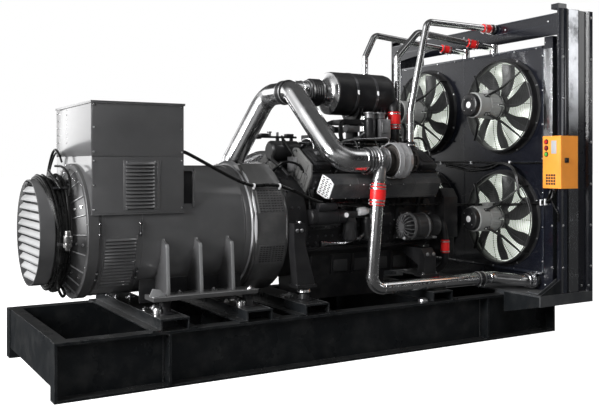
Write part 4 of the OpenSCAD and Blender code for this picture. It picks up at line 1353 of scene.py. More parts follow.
        plug.turned([(0, 0), (0, 15), (8, 17), (20, 17), (20, 23), (44, 23), (44, 20), (50, 20), (50, 26),
            (54, 27), (88, 27), (92, 24), (92, 19), (118, 18), (122, 15), (122, 0)], low, up, 28)
        tooth = Shape().box((149, -441, 904), (151, -438, 936), 0.5)
        plug.repeat(tooth, 22, turn=(0, 0, 360 / 22), about=(150, -415, 0))
        plug.band(20, 42, 20, 26, low, up, 6)
        plug.done("cable_connector")

    def shroud(self) -> None:
        """The drive housing's flat-sided shroud with its screens, whose slots are painted shade."""
        shroud = Piece("drive_shroud", Finish.SHROUD, "alternator_paint")
        # the screens' slots are near-black sheets: painted shade in the openings
        dark = Piece("shroud_slots", Finish.SUMP, "alternator_paint")
        bolts = Piece("shroud_bolts", Finish.ZINC, "alternator_paint")
        half = [(0, 1388), (206, 1388), (398, 1218), (466, 1040), (470, 830), (430, 690), (330, 566),
            (196, 486), (0, 460)]
        outline = half + [(-y, z) for y, z in half[-2:0:-1]]
        shroud.prism(outline, 1428, 236, "X", 4)
        inner = [(y * 0.985, 930 + (z - 930) * 0.985) for y, z in outline]
        shroud.prism(inner, 1410.3, 30, edge=2)
        shroud.turned([(1663, 300), (1663, 470), (1666, 475), (1676, 475), (1679.4, 471), (1679.4, 300)],
            (0, 0, 930), sides=96)
        # the rim takes a lighter grey than the shroud: painted highlight where it faces the light
        rim = Piece("shroud_rim", Finish.RIM, "alternator_paint")
        rim.turned([(1404, 438), (1407, 450), (1424, 472), (1430, 475), (1433, 475), (1433, 438)],
            (0, 0, 938), sides=110)
        rim.done()
        for side in SIDES:
            for (ya, za), (yb, zb), rows in (((398, 1218), (466, 1040), 9), ((470, 830), (430, 690), 8)):
                a, b = Vector((0, side * ya, za)), Vector((0, side * yb, zb))
                down = (b - a).normalized()
                out = Vector((0, side * abs(down.z), (abs(down.y) if zb > 930 else -abs(down.y))))
                put = Matrix(((1, 0, 0, 0), (0, -out.y, -down.y, 0), (0, -out.z, -down.z, 0), (0, 0, 0, 1)))
                put = Matrix.Translation((a + b) / 2) @ put
                reach = (b - a).length / 2
                shroud.box((1452, -3, -reach + 8), (1652, 2, reach - 8), 1.2, put)
                for row in range(rows):
                    z = reach - 22 - row * (2 * reach - 40) / (rows - 1)
                    for k in range(8):
                        x = 1460 + k * 23.5 + (4 if k > 3 else 0)
                        dark.box((x, -3.8, z - 4), (x + 18, -2.6, z + 4), 0.3, put)
        bolts.fasten(Head.HEX, around((1663, 0, 930), 452, (82.5, 97.5, 262.5, 277.5), 9))
        bolts.fasten(Head.HEX, [((x, y, 1388), UP, 7) for x in (1446, 1646) for y in (-170, 0, 170)])
        shroud.done("drive_housing")
        dark.done()
        bolts.done()
        clips = Piece("loom_clips", Finish.BRIGHT, "alternator_paint")
        for x, y, z in ((1436, -412, 1236), (1640, -412, 1231)):
            clips.band(-6, 6, 11.5, 16, (x, y, z), (1, 0, -0.05), 20)
            clips.box((x - 6, y - 2, z - 26), (x + 6, y + 14, z - 13), 2)
        clips.done()

    def extras(self) -> None:
        """The frame beside the box with a painted shadow behind it, and the foot rails' lips and their end
        plates: lighter strips on the rails' and legs' edges that are painted highlights.
        """
        frame = Piece("side_frame", Finish.ALTERNATOR, "alternator_paint")
        # a near-black box behind the frame: painted shadow in the recess
        shade = Piece("side_frame_back", Finish.SUMP, "alternator_paint")
        frame.box((976, -417, 1100), (992, -380, 1352), 2)
        frame.box((905, -417, 1338), (992, -380, 1352), 2)
        shade.box((905, -396, 1072), (978, -384, 1340), 2)
        frame.fasten(Head.HEX, [((984, -417, z), NEAR, 7) for z in (1130, 1330)])
        frame.done()
        shade.done()
        # lighter grey strips on the rails' top edges, the rails' end plates and the legs' front edges:
        # painted highlights
        rails = Piece("foot_rail_lips", Finish.FOOT, "alternator_paint")
        bolts = Piece("foot_bolts", Finish.ZINC, "alternator_paint")
        for side in SIDES:
            rails.block((638, side * 584 - 2, 541), (1382, side * 584 + 2, 545.2), 0.8)
            rails.prism([(624, 545), (618, 556), (640, 600), (690, 590), (730, 545)], side * 566, side * 6,
                "Y", 1.2)
            for x in (760, 990, 1220):
                lip = [(536, 545), (539.5, 545), (517, 846), (508, 868), (505, 864), (513, 842)]
                rails.prism([(side * y, z) for y, z in lip], x - 11, 22, "X", 0.8)
            for x, y in ((662, 556), (1340, 540), (860, 470), (1100, 470)):
                place = (x, side * y, 544.5)
                bolts.fasten(Head.NUT, [(place, UP, 15)])
                bolts.band(0, 4, 0, 31, place, UP, 28)
        rails.done()
        bolts.done()
        feet = Piece("alternator_legs", Finish.ALTERNATOR, "alternator_paint")
        # the webs between the legs take near-black paint: painted shade under the housing
        webs = Piece("leg_webs", Finish.SUMP, "alternator_paint")
        runs = Piece("foot_rails", Finish.RAIL, "alternator_paint")
        for side in SIDES:
            runs.block((640, side * 420, 515.2), (1380, side * 585, 545), 3)
            for x in (760, 990, 1220):
                leg = [(305, 544), (536, 544), (514, 846), (504, 866), (446, 886), (438, 900), (400, 760),
                    (340, 664), (305, 640)]
                feet.prism([(side * y, z) for y, z in leg], x - 10, 20, "X", 2)
                pad = [(-26, 544), (-26, 549), (-12, 553), (12, 553), (26, 549), (26, 544)]
                feet.prism([(x + dx, z) for dx, z in pad], side * 430, side * 105, "Y", 0.8)
            webs.block((640, side * 305, 470), (1380, side * 317, 625), 2)
        feet.done("alternator_feet")
        webs.done()
        runs.done()

    def build(self) -> None:
        """Builds the alternator's pieces."""
        self.box()
        self.louvre()
        self.bell()
        self.bundle()
        self.shroud()
        self.extras()


# --- pipes and hoses


@dataclass
class Pipework:
    """The polished intake, charge air and coolant pipes with their hoses and clamps."""

    intake: float = 86.0
    charge: float = 48.0
    tee: Point = (1990.0, 0.0, 1948.0)
    turbo: Point = (2296.0, 556.0, 1412.0)
    face: float = 3736.0
    tank_top: float = 2320.5

    def beads(self, piece: Piece, path: Sequence[Vector], radius: float) -> None:
        """Adds a fine weld bead where each bend of a path starts and ends.

        Args:
            piece: the piece that gets the beads.
            path: the rounded path.
            radius: the pipe's radius.
        """
        for k, (point, after) in enumerate(zip(path[1:-1], path[2:-1]), 1):
            straight_before = (point - path[k - 1]).length > 60
            if straight_before != ((after - point).length > 60):
                piece.ring(point, after - path[k - 1], radius + 0.2, 1.8, 36, 6)

    def intake_near(self) -> None:
        """The near intake pipe with the tee's stub to the filter."""
        pipe = Piece("intake_pipe_front", Finish.STEEL, "polished_pipe")
        x, y, z = self.turbo
        path = bent([(1990, 94, 1948), self.tee, (2040, -y, z), (x - 1, -y, z)], 165, 14)
        pipe.tube(path, self.intake, 44)
        pipe.tube([self.tee, (2086, 0, 1948)], self.intake - 2, 44)
        self.beads(pipe, path, self.intake)
        pipe.ring((2052, 0, 1948), RIGHT, self.intake, 2.4, 40, 6)
        pipe.ring((x - 44, -y, z), RIGHT, self.intake, 3, 40, 6)
        pipe.done("intake_pipe_near")

    def intake_far(self) -> None:
        """The far intake pipe."""
        pipe = Piece("intake_pipe_back", Finish.STEEL, "polished_pipe")
        x, y, z = self.turbo
        corners = [(1990, 97, 1948), (1990, 430, 1948), (1655, y, 1270), (1990, y, z), (x - 1, y, z)]
        path = bent(corners, 132, 14)
        pipe.tube(path, self.intake, 44)
        self.beads(pipe, path, self.intake)
        pipe.done("intake_pipe_far")

    def couplings(self) -> None:
        """The black couplings of the intake and the pleated hose to the filter."""
        black = Piece("intake_couplings", Finish.HOSE_BLACK, "bellows_rubber")
        bands = Piece("intake_clamps", Finish.ZINC, "polished_pipe")
        black.turned([(0, 86.5), (0, 93), (6, 95), (86, 95), (92, 93), (92, 86.5)], (1990, 58, 1948), FAR,
            44)
        for y in (70, 138):
            bands.clamp((1990, y, 1948), FAR, 94.5, 12, 120)
        for side in SIDES:
            x, y, z = self.turbo
            black.turned([(-20, 86.5), (-20, 93), (-14, 95), (22, 95), (26, 93), (26, 86.5)],
                (x - 2, side * y, z), sides=44)
            for dx in (-10, 14):
                bands.clamp((x + dx, side * y, z), RIGHT, 94.5, 11, 200)
        pleats: list[tuple[float, float]] = [(0, 60), (0, 93), (16, 93)]
        for k in range(5):
            a = 18 + k * 20
            pleats += [(a, 94), (a + 5, 102), (a + 9, 108), (a + 13, 102), (a + 18, 94)]
        pleats += [(120, 93), (138, 94), (138, 60)]
        black.turned(pleats, (2106, 0, 1948), sides=48)
        for x in (2110, 2229):
            bands.clamp((x, 0, 1948), RIGHT, 94, 11, 200)
        black.done("filter_outlet")
        bands.done()
        dish = Piece("filter_end_dish", Finish.STEEL, "polished_pipe")
        dish.turned([(0, 60), (0, 91), (30, 95), (44, 104), (54, 126), (60, 152), (62, 164), (66, 168),
            (70, 166), (70, 60)], (2242, 0, 1948), sides=64)
        dish.band(0, 24, 60, 84, (2085, 0, 1948), sides=44)
        dish.done()

    def charge_side(self, side: int) -> None:
        """One charge air pipe, from its compressor to the radiator.

        Args:
            side: -1 for the near side and 1 for the far side.
        """
        name = "near" if side < 0 else "far"
        y = 612 * side
        top, foot = Vector((2360, y, 1262)), Vector((2291, y, 478))
        down = (foot - top).normalized()
        corners = [top + down * 0.5, foot, (3476, y, 478), (3656, y + 186 * side, 464),
            (3769, y + 186 * side, 464)]
        pipe = Piece(f"charge_pipe_{name}_tube", Finish.STEEL, "polished_pipe")
        path = bent(corners, 96, 12)
        pipe.tube(path, self.charge, 36)
        self.beads(pipe, path, self.charge)
        end = Vector((3656, y + 186 * side, 464))
        pipe.turned([(0, 48), (0, 56), (10, 58), (24, 58), (30, 52), (30, 48)], end + Vector((8, 0, 0)),
            sides=32)
        pipe.band(56, 76, 48, 66, end, sides=32)
        pipe.done(f"charge_pipe_{name}")
        hose = Piece(f"charge_hose_{name}", Finish.HOSE_RED, "bellows_rubber")
        hose.tube([top + down * d for d in (18, 22, 40, 60, 100, 140, 160, 178, 182)],
                  [50, 54, 55, 57, 58, 57, 55, 54, 50], 36)
        hose.done()
        bands = Piece(f"charge_clamps_{name}", Finish.ZINC, "polished_pipe")
        for d, r in ((32, 54.5), (56, 56.5), (144, 56.5), (168, 54.5)):
            bands.clamp(top + down * d, down, r, 13, 250 if side < 0 else 70)
        black = Piece(f"charge_coupling_{name}", Finish.HOSE_BLACK, "bellows_rubber")
        black.tube([(3300, y, 478), (3306, y, 478), (3382, y, 478), (3388, y, 478)], [49, 55, 55, 49], 32)
        for x in (3318, 3370):
            bands.clamp((x, y, 478), RIGHT, 54.5, 12, 150)
        black.done()
        bands.done()

    def coolant(self) -> None:
        """The three coolant pipes over the engine and their hoses."""
        black = Piece("coolant_couplings", Finish.HOSE_BLACK, "bellows_rubber")
        red = Piece("coolant_hoses", Finish.HOSE_RED, "bellows_rubber")
        bands = Piece("coolant_clamps", Finish.ZINC, "polished_pipe")
        routes = {
            "main": ([(2842, -372, 1450), (2842, -372, 1800), (3010, -372, 2522),
                (self.face - 1, -372, 2522)], 27, 60, 88),
            "vent": ([(2995, 0, 1529), (2995, 0, 2285), (3180, -40, 2498), (3846, -250, 2385)], 28, 50,
                205),
            "fill": ([(2850, 260, 1505), (2850, 260, 2300), (2945, 250, 2495), (3846, 100, 2385)], 26, 50,
                215),
        }
        for name, (corners, radius, bend, back) in routes.items():
            pipe = Piece(f"coolant_{name}_tube", Finish.STEEL, "polished_pipe")
            path = bent(corners, bend, 10)
            pipe.tube(path, radius, 28)
            last = Vector(corners[-1])
            way = (last - Vector(corners[-2])).normalized()
            start = last - way * back
            red.tube([start + way * d for d in (-44, -41, 41, 44)], [radius + 1, radius + 8, radius + 8,
                radius + 1], 26)
            for d in (-30, 30):
                bands.clamp(start + way * d, way, radius + 7.5, 10, 210)
            if name != "main":
                rise = last.z + radius + 6 - self.tank_top
                stub = [(0, 20), (0, radius + 6), (rise - 2, radius + 6), (rise, radius), (rise, 20)]
                pipe.turned(stub, (last.x, last.y, self.tank_top), UP, 32)
                pipe.turned([(0, radius), (0, radius + 9), (14, radius + 9), (14, radius + 3),
                    (40, radius + 3), (40, radius)], start + way * 48, way, 24)
            else:
                black.turned([(0, 27.5), (0, 38), (40, 38), (44, 34), (44, 27.5)], last - way * 45, way, 24)
                bands.clamp(last - way * 20, way, 37.5, 10, 210)
            foot = Vector(corners[0])
            black.turned([(0, 20), (0, radius + 12), (30, radius + 14), (96, radius + 12),
                (112, radius + 3), (112, 20)], foot + Vector(UP), UP, 28)
            bands.clamp(foot + Vector((0, 0, 84)), UP, radius + 12, 10, 60)
            pipe.done(f"coolant_pipe_{name}")
        black.done()
        red.done()
        bands.done()

    def build(self) -> None:
        """Builds every pipe."""
        self.intake_near()
        self.intake_far()
        self.couplings()
        for side in SIDES:
            self.charge_side(side)
        self.coolant()


# --- the engine


@dataclass
class Engine:
    """The twelve-cylinder vee engine and everything bolted to it."""

    back: float = 1880.0
    length: float = 1250.0
    shaft: float = 940.0
    lean: float = 32.0
    pitch: float = 200.0
    slant: float = 0.48

    def bank(self, side: int) -> Matrix:
        """Where a bank's own measures lie: X along, Y out of the bank's middle, Z along the cylinders.

        Args:
            side: -1 for the near bank and 1 for the far one.

        Returns:
            The matrix; the near bank's is mirrored.
        """
        c, s = cos(radians(self.lean)), sin(radians(self.lean))
        return Matrix(((1, 0, 0, 0), (0, side * c, side * s, 0), (0, -s, c, self.shaft), (0, 0, 0, 1)))

    def spots(self, side: int, places: Iterable[Spot]) -> list[Spot]:
        """Turns fastenings from a bank's measures to the set's.

        Args:
            side: -1 for the near bank and 1 for the far one.
            places: place, facing and size of each, on the bank.

        Returns:
            The same in the set's measures.
        """
        m = self.bank(side)
        turn = m.to_3x3()
        return [(m @ Vector(place), turn @ Vector(facing), size) for place, facing, size in places]

    def heads(self) -> None:
        """Cylinder heads, rocker covers and their bolts."""
        heads = Piece("heads", Finish.ENGINE, "engine_paint")
        covers = Piece("covers", Finish.COVER, "engine_paint")
        bolts = Piece("head_bolts", Finish.DARK_BOLT, "engine_paint")
        caps = Piece("cover_fittings", Finish.SUMP, "sump_paint")
        plates = Piece("head_end_plates", Finish.CAST_LIGHT, "cast_housing")
        back = self.back
        for side in SIDES:
            m = self.bank(side)
            for i in range(6):
                x = back + 30 + i * self.pitch
                heads.box((x, -150, 380.3), (x + 190, 172, 530), 5, m)
                for n in SIDES:
                    y = 172 if n > 0 else -150
                    # Where n is -1 the corners run from high to low, which swells the block by its edge.
                    for port in (x + 24, x + 106):
                        heads.box((port, y - 6 * n, 410), (port + 60, y + 7 * n, 505), 4, m)
                covers.prism([(x + 13, -114), (x + 177, -114), (x + 177, 130), (x + 13, 130)], 530.4, 12,
                    "Z", 2.5, m)
                covers.box((x + 20, -106, 540), (x + 170, 122, 600), 13, m)
                covers.box((x + 46, -70, 598), (x + 144, 86, 607.5), 4, m)
                for k in range(4):
                    covers.box((x + 52 + k * 24, -64, 605), (x + 60 + k * 24, 80, 609.5), 1.5, m)
                corners = [((x + a, b, 542), UP, 7) for a in (24, 166) for b in (-110, 126)]
                flanges = [((x + a, 179, b), FAR, 8) for a in (36, 72, 118, 154) for b in (430, 480)]
                bolts.fasten(Head.HEX, self.spots(side, corners + flanges))
            filler = m @ Vector((back + 125 + 3 * self.pitch, 8, 606))
            caps.turned([(0, 0), (0, 34), (14, 36), (30, 34), (30, 44), (46, 44), (50, 38), (50, 0)],
                        filler, m.to_3x3() @ Vector(UP), 14)
            plate = [(-148, 376), (166, 376), (166, 526), (128, 600), (-112, 600), (-148, 528)]
            plates.prism(plate, back + 14, 15.8, "X", 4, m)
            plates.prism([(-120, 400), (130, 400), (130, 500), (-120, 500)], back + 7, 9, "X", 4, m)
            plates.box((back + 8, -90, 520), (back + 18, 100, 580), 4, m)
            plates.box((back + 2, -96, 300), (back + 26, 60, 384), 6, m)
            for n in (-100, -46, 8, 62, 112):
                plates.box((back + 1, n - 5, 392), (back + 14, n + 5, 508), 2, m)
            ends = [((back + 6, n, b), LEFT, 9) for n in (-110, -30, 40, 100) for b in (412, 504)]
            bolts.fasten(Head.HEX, self.spots(side, ends))
        heads.done("cylinder_heads")
        covers.done("rocker_covers")
        bolts.done()
        caps.done()
        plates.done()

    def flank(self) -> None:
        """What is bolted to both sides of the block: ribs, covers, the sump's rail and core plugs."""
        black = Piece("block_sides", Finish.ENGINE, "engine_paint")
        bolts = Piece("block_bolts", Finish.DARK_BOLT, "engine_paint")
        cast = Piece("block_plates", Finish.CAST_DARK, "engine_paint")
        back = self.back
        web = [(318, 930), (352, 926), (384, 1150), (396, 1206), (360, 1200)]
        strut = [(194, 540), (204, 545), (220, 690), (208, 700)]
        for side in SIDES:
            for i in range(6):
                x = back + 50 + i * self.pitch
                black.prism([(side * y, z) for y, z in web], x - 14, 20, "X", 3)
                black.block((x + 24, side * 322, 908), (x + 150, side * 341, 1010), 6)
                bolts.fasten(Head.HEX, [((x + a, side * 341, z), (0, side, 0), 8) for a in (38, 136)
                    for z in (922, 996)])
                cast.turned([(-60, 0), (-60, 34), (8, 34), (12, 28), (12, 0)], (x + 86, side * 344, 1080),
                    (0, side, 0.12), 24)
                for y, z in ((278, 800), (305.5, 850)):
                    bolts.fasten(Head.HEX, [((x + a, side * y, z), (0, side, -0.4), 9)
                        for a in (20, 90, 160)])
            black.block((back + 10, side * 236, 752), (back + 1200, side * 286, 764), 3)
            black.block((back + 30, side * 240, 738), (back + 1180, side * 280, 750), 3)
            row = Shape().take(Head.HEX.sized(8), Matrix.Translation((back + 50, side * 268, 764)))
            bolts.repeat(row, 24, (49, 0, 0))
            end = [(side * 196, 540), (side * 206, 545), (side * 222, 690), (side * 208, 700)]
            black.prism(end, back + 120, 26, "X", 3)
            inner, outer = (198, 214) if side > 0 else (208, 198)
            for k in range(5):
                x = back + 320 + k * 190
                black.prism([(side * y, z) for y, z in strut], x, 18, "X", 3)
                cast.block((x + 26, side * inner, 560), (x + 156, side * outer, 664), 6)
        black.done()
        bolts.done()
        cast.done()

    def front(self) -> None:
        """The timing cover, pulleys, belt, water pump and thermostat housings."""
        cover = Piece("timing_cover", Finish.CAST_DARK, "engine_paint")
        x = self.back + self.length + 0.3
        outline = [(-240, 770), (-300, 920), (-250, 1190), (-120, 1320), (120, 1320), (250, 1190),
            (300, 920), (240, 770)]
        cover.prism(outline, x, 74, "X", 8)
        cover.prism([(y * 0.86, 1040 + (z - 1040) * 0.86) for y, z in outline], x + 72, 47, "X", 10)
        cover.turned([(118, 0), (118, 96), (134, 92), (134, 0)], (x, 0, 1180), sides=32)
        cover.done("front_cover")
        pulley = Piece("pulleys", Finish.SUMP, "sump_paint")
        grooves = [(20 + 4 * k + d, r) for k in range(12) for d, r in ((0, 205), (2, 199))]
        pulley.turned([(20, 60), *grooves, (70, 205), (72, 150), (66, 120), (66, 60)], (x + 120, 0, 910),
            sides=64)
        pulley.turned([(0, 0), (0, 70), (40, 70), (70, 84), (100, 80), (100, 0)], (x + 120, 0, 910),
            sides=32)
        for y, z, r in ((0, 1180, 110), (-170, 1090, 48), (170, 1080, 60)):
            grooves = [(26 + 4 * k + d, q) for k in range(8) for d, q in ((0, r), (2, r - 4))]
            rim = [(26, 24), *grooves, (60, r), (60, r - 14), (50, r - 20), (50, 24)]
            pulley.turned(rim, (x + 120, y, z), sides=48)
            pulley.band(0, 66, 0, 26, (x + 118, y, z), sides=20)
        pulley.done("crank_pulley")
        guard = Piece("belt_guard", Finish.SUMP, "sump_paint")
        outline = [(-438, 800), (-438, 1120), (-390, 1190), (-250, 1190), (-250, 640), (-390, 640),
            (-398, 800)]
        guard.prism(outline, 3128, 142, "X", 6)
        guard.done()
        belt = Piece("fan_belt", Finish.HOSE_BLACK, "bellows_rubber")
        loop = [(0, 702), (-120, 738), (-196, 838), (-218, 1080), (-150, 1138), (-84, 1256), (0, 1293),
            (90, 1250), (180, 1142), (226, 1070), (196, 838), (120, 738), (0, 702)]
        for at in (x + 150, x + 158, x + 166):
            belt.tube([(at, y, z) for y, z in loop], 4.2, 6)
        belt.done()
        water = Piece("water_outlets", Finish.CAST, "cast_housing")
        for side in SIDES:
            neck = [(-60, 150, 1330), (-40, 160, 1400), (6, 130, 1450), (20, 60, 1470)]
            water.tube(flowing([(x + dx, side * y, z) for dx, y, z in neck]), 40, 24)
        water.turned([(-70, 0), (-70, 58), (-60, 64), (60, 64), (70, 58), (70, 0)], (x + 10, 0, 1468), FAR,
            32)
        water.turned([(0, 30), (0, 52), (16, 52), (16, 44), (60, 44), (60, 30)], (x - 110, 0, 1500), UP, 28)
        water.done()

    def slanted(self, part: Shape) -> bmesh.types.BMesh:
        """Leans the rear end of an exhaust cover outwards.

        Args:
            part: the cover, before it is put on its bank.

        Returns:
            The cover's mesh.
        """
        for vertex in part.mesh.verts:
            if vertex.co.x < self.back + 120:  # the rear end
                vertex.co.x += (vertex.co.y - 196) * self.slant
        return part.mesh

    def exhaust(self) -> None:
        """The lagged exhaust covers, their bright ends with slots drawn as painted shade, and their screws.
        """
        shield = Piece("exhaust_covers", Finish.LAGGING, "shield_grey")
        plate = Piece("exhaust_end_plates", Finish.BRIGHT, "shield_plate")
        # the end plates' slots are near-black sheets: painted shade in the openings
        dark = Piece("exhaust_end_slots", Finish.SUMP, "sump_paint")
        screws = Piece("exhaust_screws", Finish.ZINC, "shield_plate")
        outline = [(196, 400), (196, 564), (262, 564), (300, 540), (300, 412), (272, 400)]
        end = [(198, 402), (198, 562), (261, 562), (298, 539), (298, 414), (271, 402)]
        rib = [(n + (1.6 if n > 250 else 0), b + (1.6 if b > 480 else -1.6)) for n, b in outline]
        back = self.back
        for side in SIDES:
            m = self.bank(side)
            shield.take(self.slanted(Shape().prism(outline, back + 90, 1045, "X", 5)), m)
            for k in range(1, 4):
                shield.prism(rib, back + 90 + k * 262, 7, "X", 1.5, m)
            for b in (426, 526):
                shield.box((back + 142, 299, b), (back + 1115, 302, b + 5), 1, m)
            lean = m @ Matrix(((1, self.slant, 0, -196 * self.slant), (0, 1, 0, 0), (0, 0, 1, 0),
                (0, 0, 0, 1)))
            plate.prism(end, back + 83.7, 5.5, "X", 1.2, lean)
            for row in range(9):
                for column in range(3):
                    n, b = 210 + column * 27 + 6 * (row % 2), 416 + row * 16
                    if not (column == 2 and row > 7):
                        slot = [(n, b), (n + 15, b), (n + 15, b + 8), (n, b + 8)]
                        dark.prism(slot, back + 81.6, 2.4, "X", 0.4, lean)
            rows = [((back + 158 + 121 * k, 301, b), FAR, 5) for k in range(9) for b in (416, 534)]
            screws.fasten(Head.DOME, self.spots(side, rows))
            corners = [((back + 83.5 + (n - 196) * self.slant, n, b), LEFT, 5)
                       for n, b in ((203, 408), (203, 556), (256, 557), (291, 420))]
            screws.fasten(Head.HEX, self.spots(side, corners))
        shield.done("exhaust_shields")
        plate.done("shield_end_plates")
        dark.done()
        screws.done()

    def turbos(self) -> None:
        """The two turbochargers: inlet ring, volute, clamps, turbine and its wrap."""
        cast = Piece("turbo_castings", Finish.HOUSING, "cast_housing")
        hot = Piece("turbine_castings", Finish.HOT, "cast_housing")
        bands = Piece("turbo_bands", Finish.ZINC, "shield_plate")
        wrap = Piece("turbine_wraps", Finish.WRAP, "shield_plate")
        x, z = 2296, 1412
        for side in SIDES:
            y = side * 556
            c = (x, y, z)
            cast.turned([(0, 60), (0, 80), (3, 86), (24, 88), (30, 84), (40, 86), (46, 96), (50, 96),
                (54, 90), (64, 92), (68, 104), (74, 106), (80, 100), (86, 60)], c, sides=56)
            turns = [tau * k / 40 for k in range(38)]
            volute = [(x + 108 + 2 * cos(a), y - side * 62 * sin(a), z + 62 * cos(a)) for a in turns]
            cast.tube(volute, [30 + 14 * k / 37 for k in range(38)], 18)
            cast.turned([(82, 0), (82, 70), (130, 74), (134, 96), (146, 98), (150, 60), (168, 58),
                (168, 0)], c, sides=48)
            cast.tube([(x + 92, y + side * 50, z - 40), (x + 78, y + side * 56, z - 86),
                (x + 66, y + side * 56, z - 132), (x + 64, y + side * 56, z - 148)], [36, 42, 46, 47], 32)
            cast.turned([(0, 40), (0, 52), (12, 53), (12, 40)], (x + 64.5, y + side * 56, z - 149),
                (0.09, 0, 1), 32)
            bands.band(134, 146, 96, 101, c, sides=48)
            bands.box((x + 134, y - 10, z + 99), (x + 146, y + 14, z + 112), 2)
            bands.fasten(Head.HEX, around((x + 82, y, z), 84, range(0, 360, 45), 6))
            hot.turned([(160, 0), (160, 56), (206, 58), (206, 92), (216, 96), (222, 108), (232, 118),
                (262, 122), (310, 122), (338, 110), (352, 84), (366, 68), (402, 68), (402, 84), (419, 84),
                (419, 0)], c, sides=48)
            foot = [(596, 1332), (500, 1332), (482, 1316), (508, 1290), (560, 1300)]
            hot.prism([(side * n, b) for n, b in foot], x + 256, 68, "X", 6)
            bands.fasten(Head.NUT, around((x + 402, y, z), 77, range(30, 390, 60), 6))
            start = -140 if side < 0 else 28
            wrap.turned([(206, 124.5), (206, 133), (210, 134), (240, 134), (243, 136), (247, 134),
                (296, 134), (299, 136), (303, 134), (324, 134), (327, 132), (327, 124.5)], c, sides=64,
                start=start - 68 if side < 0 else -40, span=248)
            for along in (216, 266, 316):
                bands.fasten(Head.HEX, around((x + along, y, z), 134, (78 - start, 22 - start), 4.5, 0, 1))
        cast.done("turbochargers")
        hot.done()
        bands.done()
        wrap.done("turbine_shields")

    def filter(self) -> None:
        """The air filter with its bands and clips, and the saddles that hold it."""
        can = Piece("filter_canister", Finish.CANISTER, "filter_black")
        bands = Piece("filter_bands", Finish.DARK_BOLT, "engine_paint")
        clips = Piece("filter_clips", Finish.BRIGHT, "shield_plate")
        c = (2312, 0, 1948)
        can.turned([(0, 0), (0, 163), (5, 169), (14, 170), (168, 170), (171, 166), (179, 166), (182, 170),
            (355, 170), (358, 166), (366, 166), (369, 170), (506, 170), (536, 163), (556, 144), (569, 112),
            (572, 70), (572, 0)], c, sides=88)
        for along in (175, 362):
            bands.band(along - 11, along + 11, 167, 172.5, c, sides=72)
            for a in (88, 178, 268):
                put = Matrix.Translation(c) @ Matrix.Rotation(radians(a), 4, "X")
                clips.box((along - 8, -14, 170), (along + 8, 14, 176), 2, put)
                clips.box((along - 5, -22, 175), (along + 5, 8, 180), 1.6, put)
        clips.turned([(572, 0), (572, 16), (578, 14), (581, 8), (581, 0)], c, sides=20)
        can.done("air_filter")
        bands.done()
        clips.done()
        cradle = Piece("filter_saddles", Finish.ENGINE, "engine_paint")
        cast = Piece("filter_valves", Finish.CAST, "cast_housing")
        bolts = Piece("saddle_bolts", Finish.ZINC, "shield_plate")
        for x in (2515, 2735):
            turns = [radians(a) for a in range(-48, 49, 8)]
            arc = [(170.6 * sin(a), 1948 - 170.6 * cos(a)) for a in turns]
            for at in (x, x + 36):
                saddle = [(-60, 1529), (60, 1529), (52, 1700), (126, 1800), *arc[::-1], (-126, 1800),
                    (-52, 1700)]
                cradle.prism(saddle, at, 10, "X", 1.5)
            cradle.box((x, -74, 1529), (x + 46, 74, 1541), 3)
            cradle.turned([(0, 170.6), (0, 177), (46, 177), (46, 170.6)], (x, 0, 1948), sides=72,
                start=128, span=104)
            bolts.fasten(Head.HEX, [((x + 23, y, 1541), UP, 8) for y in (-66, 66)])
        cradle.box((2400, -104, 1700), (2776, 104, 1742), 5)
        for side in SIDES:
            for path, r, sides in (
                ([(2420, 70, 1730), (2360, 112, 1700), (2350, 120, 1620), (2380, 110, 1520)], 17, 14),
                ([(2560, 90, 1730), (2590, 130, 1680), (2600, 132, 1600), (2580, 116, 1520)], 13, 12),
            ):
                cradle.tube(flowing([(x, side * y, z) for x, y, z in path]), r, sides)
            cast.block((2430, side * 96, 1640), (2530, side * 128, 1690), 6)
            cast.turned([(0, 0), (0, 30), (12, 34), (26, 34), (26, 24), (70, 24), (70, 0)],
                (2400, side * 112, 1665), sides=20)
            cast.turned([(0, 0), (0, 28), (10, 32), (88, 32), (96, 26), (96, 0)], (2800, side * 96, 1610),
                UP, 20)
        cradle.done("filter_cradle")
        cast.done()
        bolts.done()

    def valley(self) -> None:
        """The intake manifold between the banks, the fuel lines, loom and pumps on it."""
        black = Piece("manifold", Finish.CAST_DARK, "engine_paint")
        outline = [(-60, 1372), (-95, 1410), (-95, 1496), (-70, 1527), (70, 1527), (95, 1496), (95, 1410),
            (60, 1372)]
        black.prism(outline, 2050, 1020, "X", 7)
        for i in range(6):
            x = 1960 + i * self.pitch
            for side in SIDES:
                runner = [(x + 60, side * 70, 1440), (x + 56, side * 116, 1436), (x + 50, side * 150, 1404)]
                black.tube(flowing(runner, 5), 34, 18)
            if i:
                black.box((x - 10, -99, 1400), (x + 4, 99, 1528), 4)
        black.done("intake_manifold")
        lines = Piece("fuel_lines", Finish.LINE, "cast_housing")
        for side in SIDES:
            lines.tube([(1960, side * 128, 1546), (3060, side * 128, 1546)], 9, 10)
            for i in range(6):
                x = 1985 + i * self.pitch
                branch = [(0, 128, 1546), (10, 136, 1572), (34, 190, 1576), (52, 214, 1540),
                    (56, 222, 1500)]
                lines.tube(flowing([(x + dx, side * y, z) for dx, y, z in branch], 4), 4.6, 8)
        upper = [(2150, -392, 1470), (2180, -400, 1556), (2300, -400, 1570), (2609, -404, 1586),
            (2609, -404, 1480)]
        lines.tube(bent(upper, 30), 9, 12)
        lower = [(1984, -404, 806), (2190, -404, 798), (2330, -404, 830), (2440, -404, 900),
            (2440, -360, 900)]
        lines.tube(bent(lower, 60), 13, 14)
        middle = [(2100, -350, 1010), (2200, -372, 960), (2330, -360, 1000), (2480, -360, 1040),
            (2600, -362, 1000)]
        lines.tube(flowing(middle), 9, 10)
        for x in (1990, 2006, 2022):
            lines.band(-4, 4, 12, 23, (x, -404, 805), sides=20)
        lines.done()
        loom = Piece("engine_loom", Finish.CABLE, "cable_black")
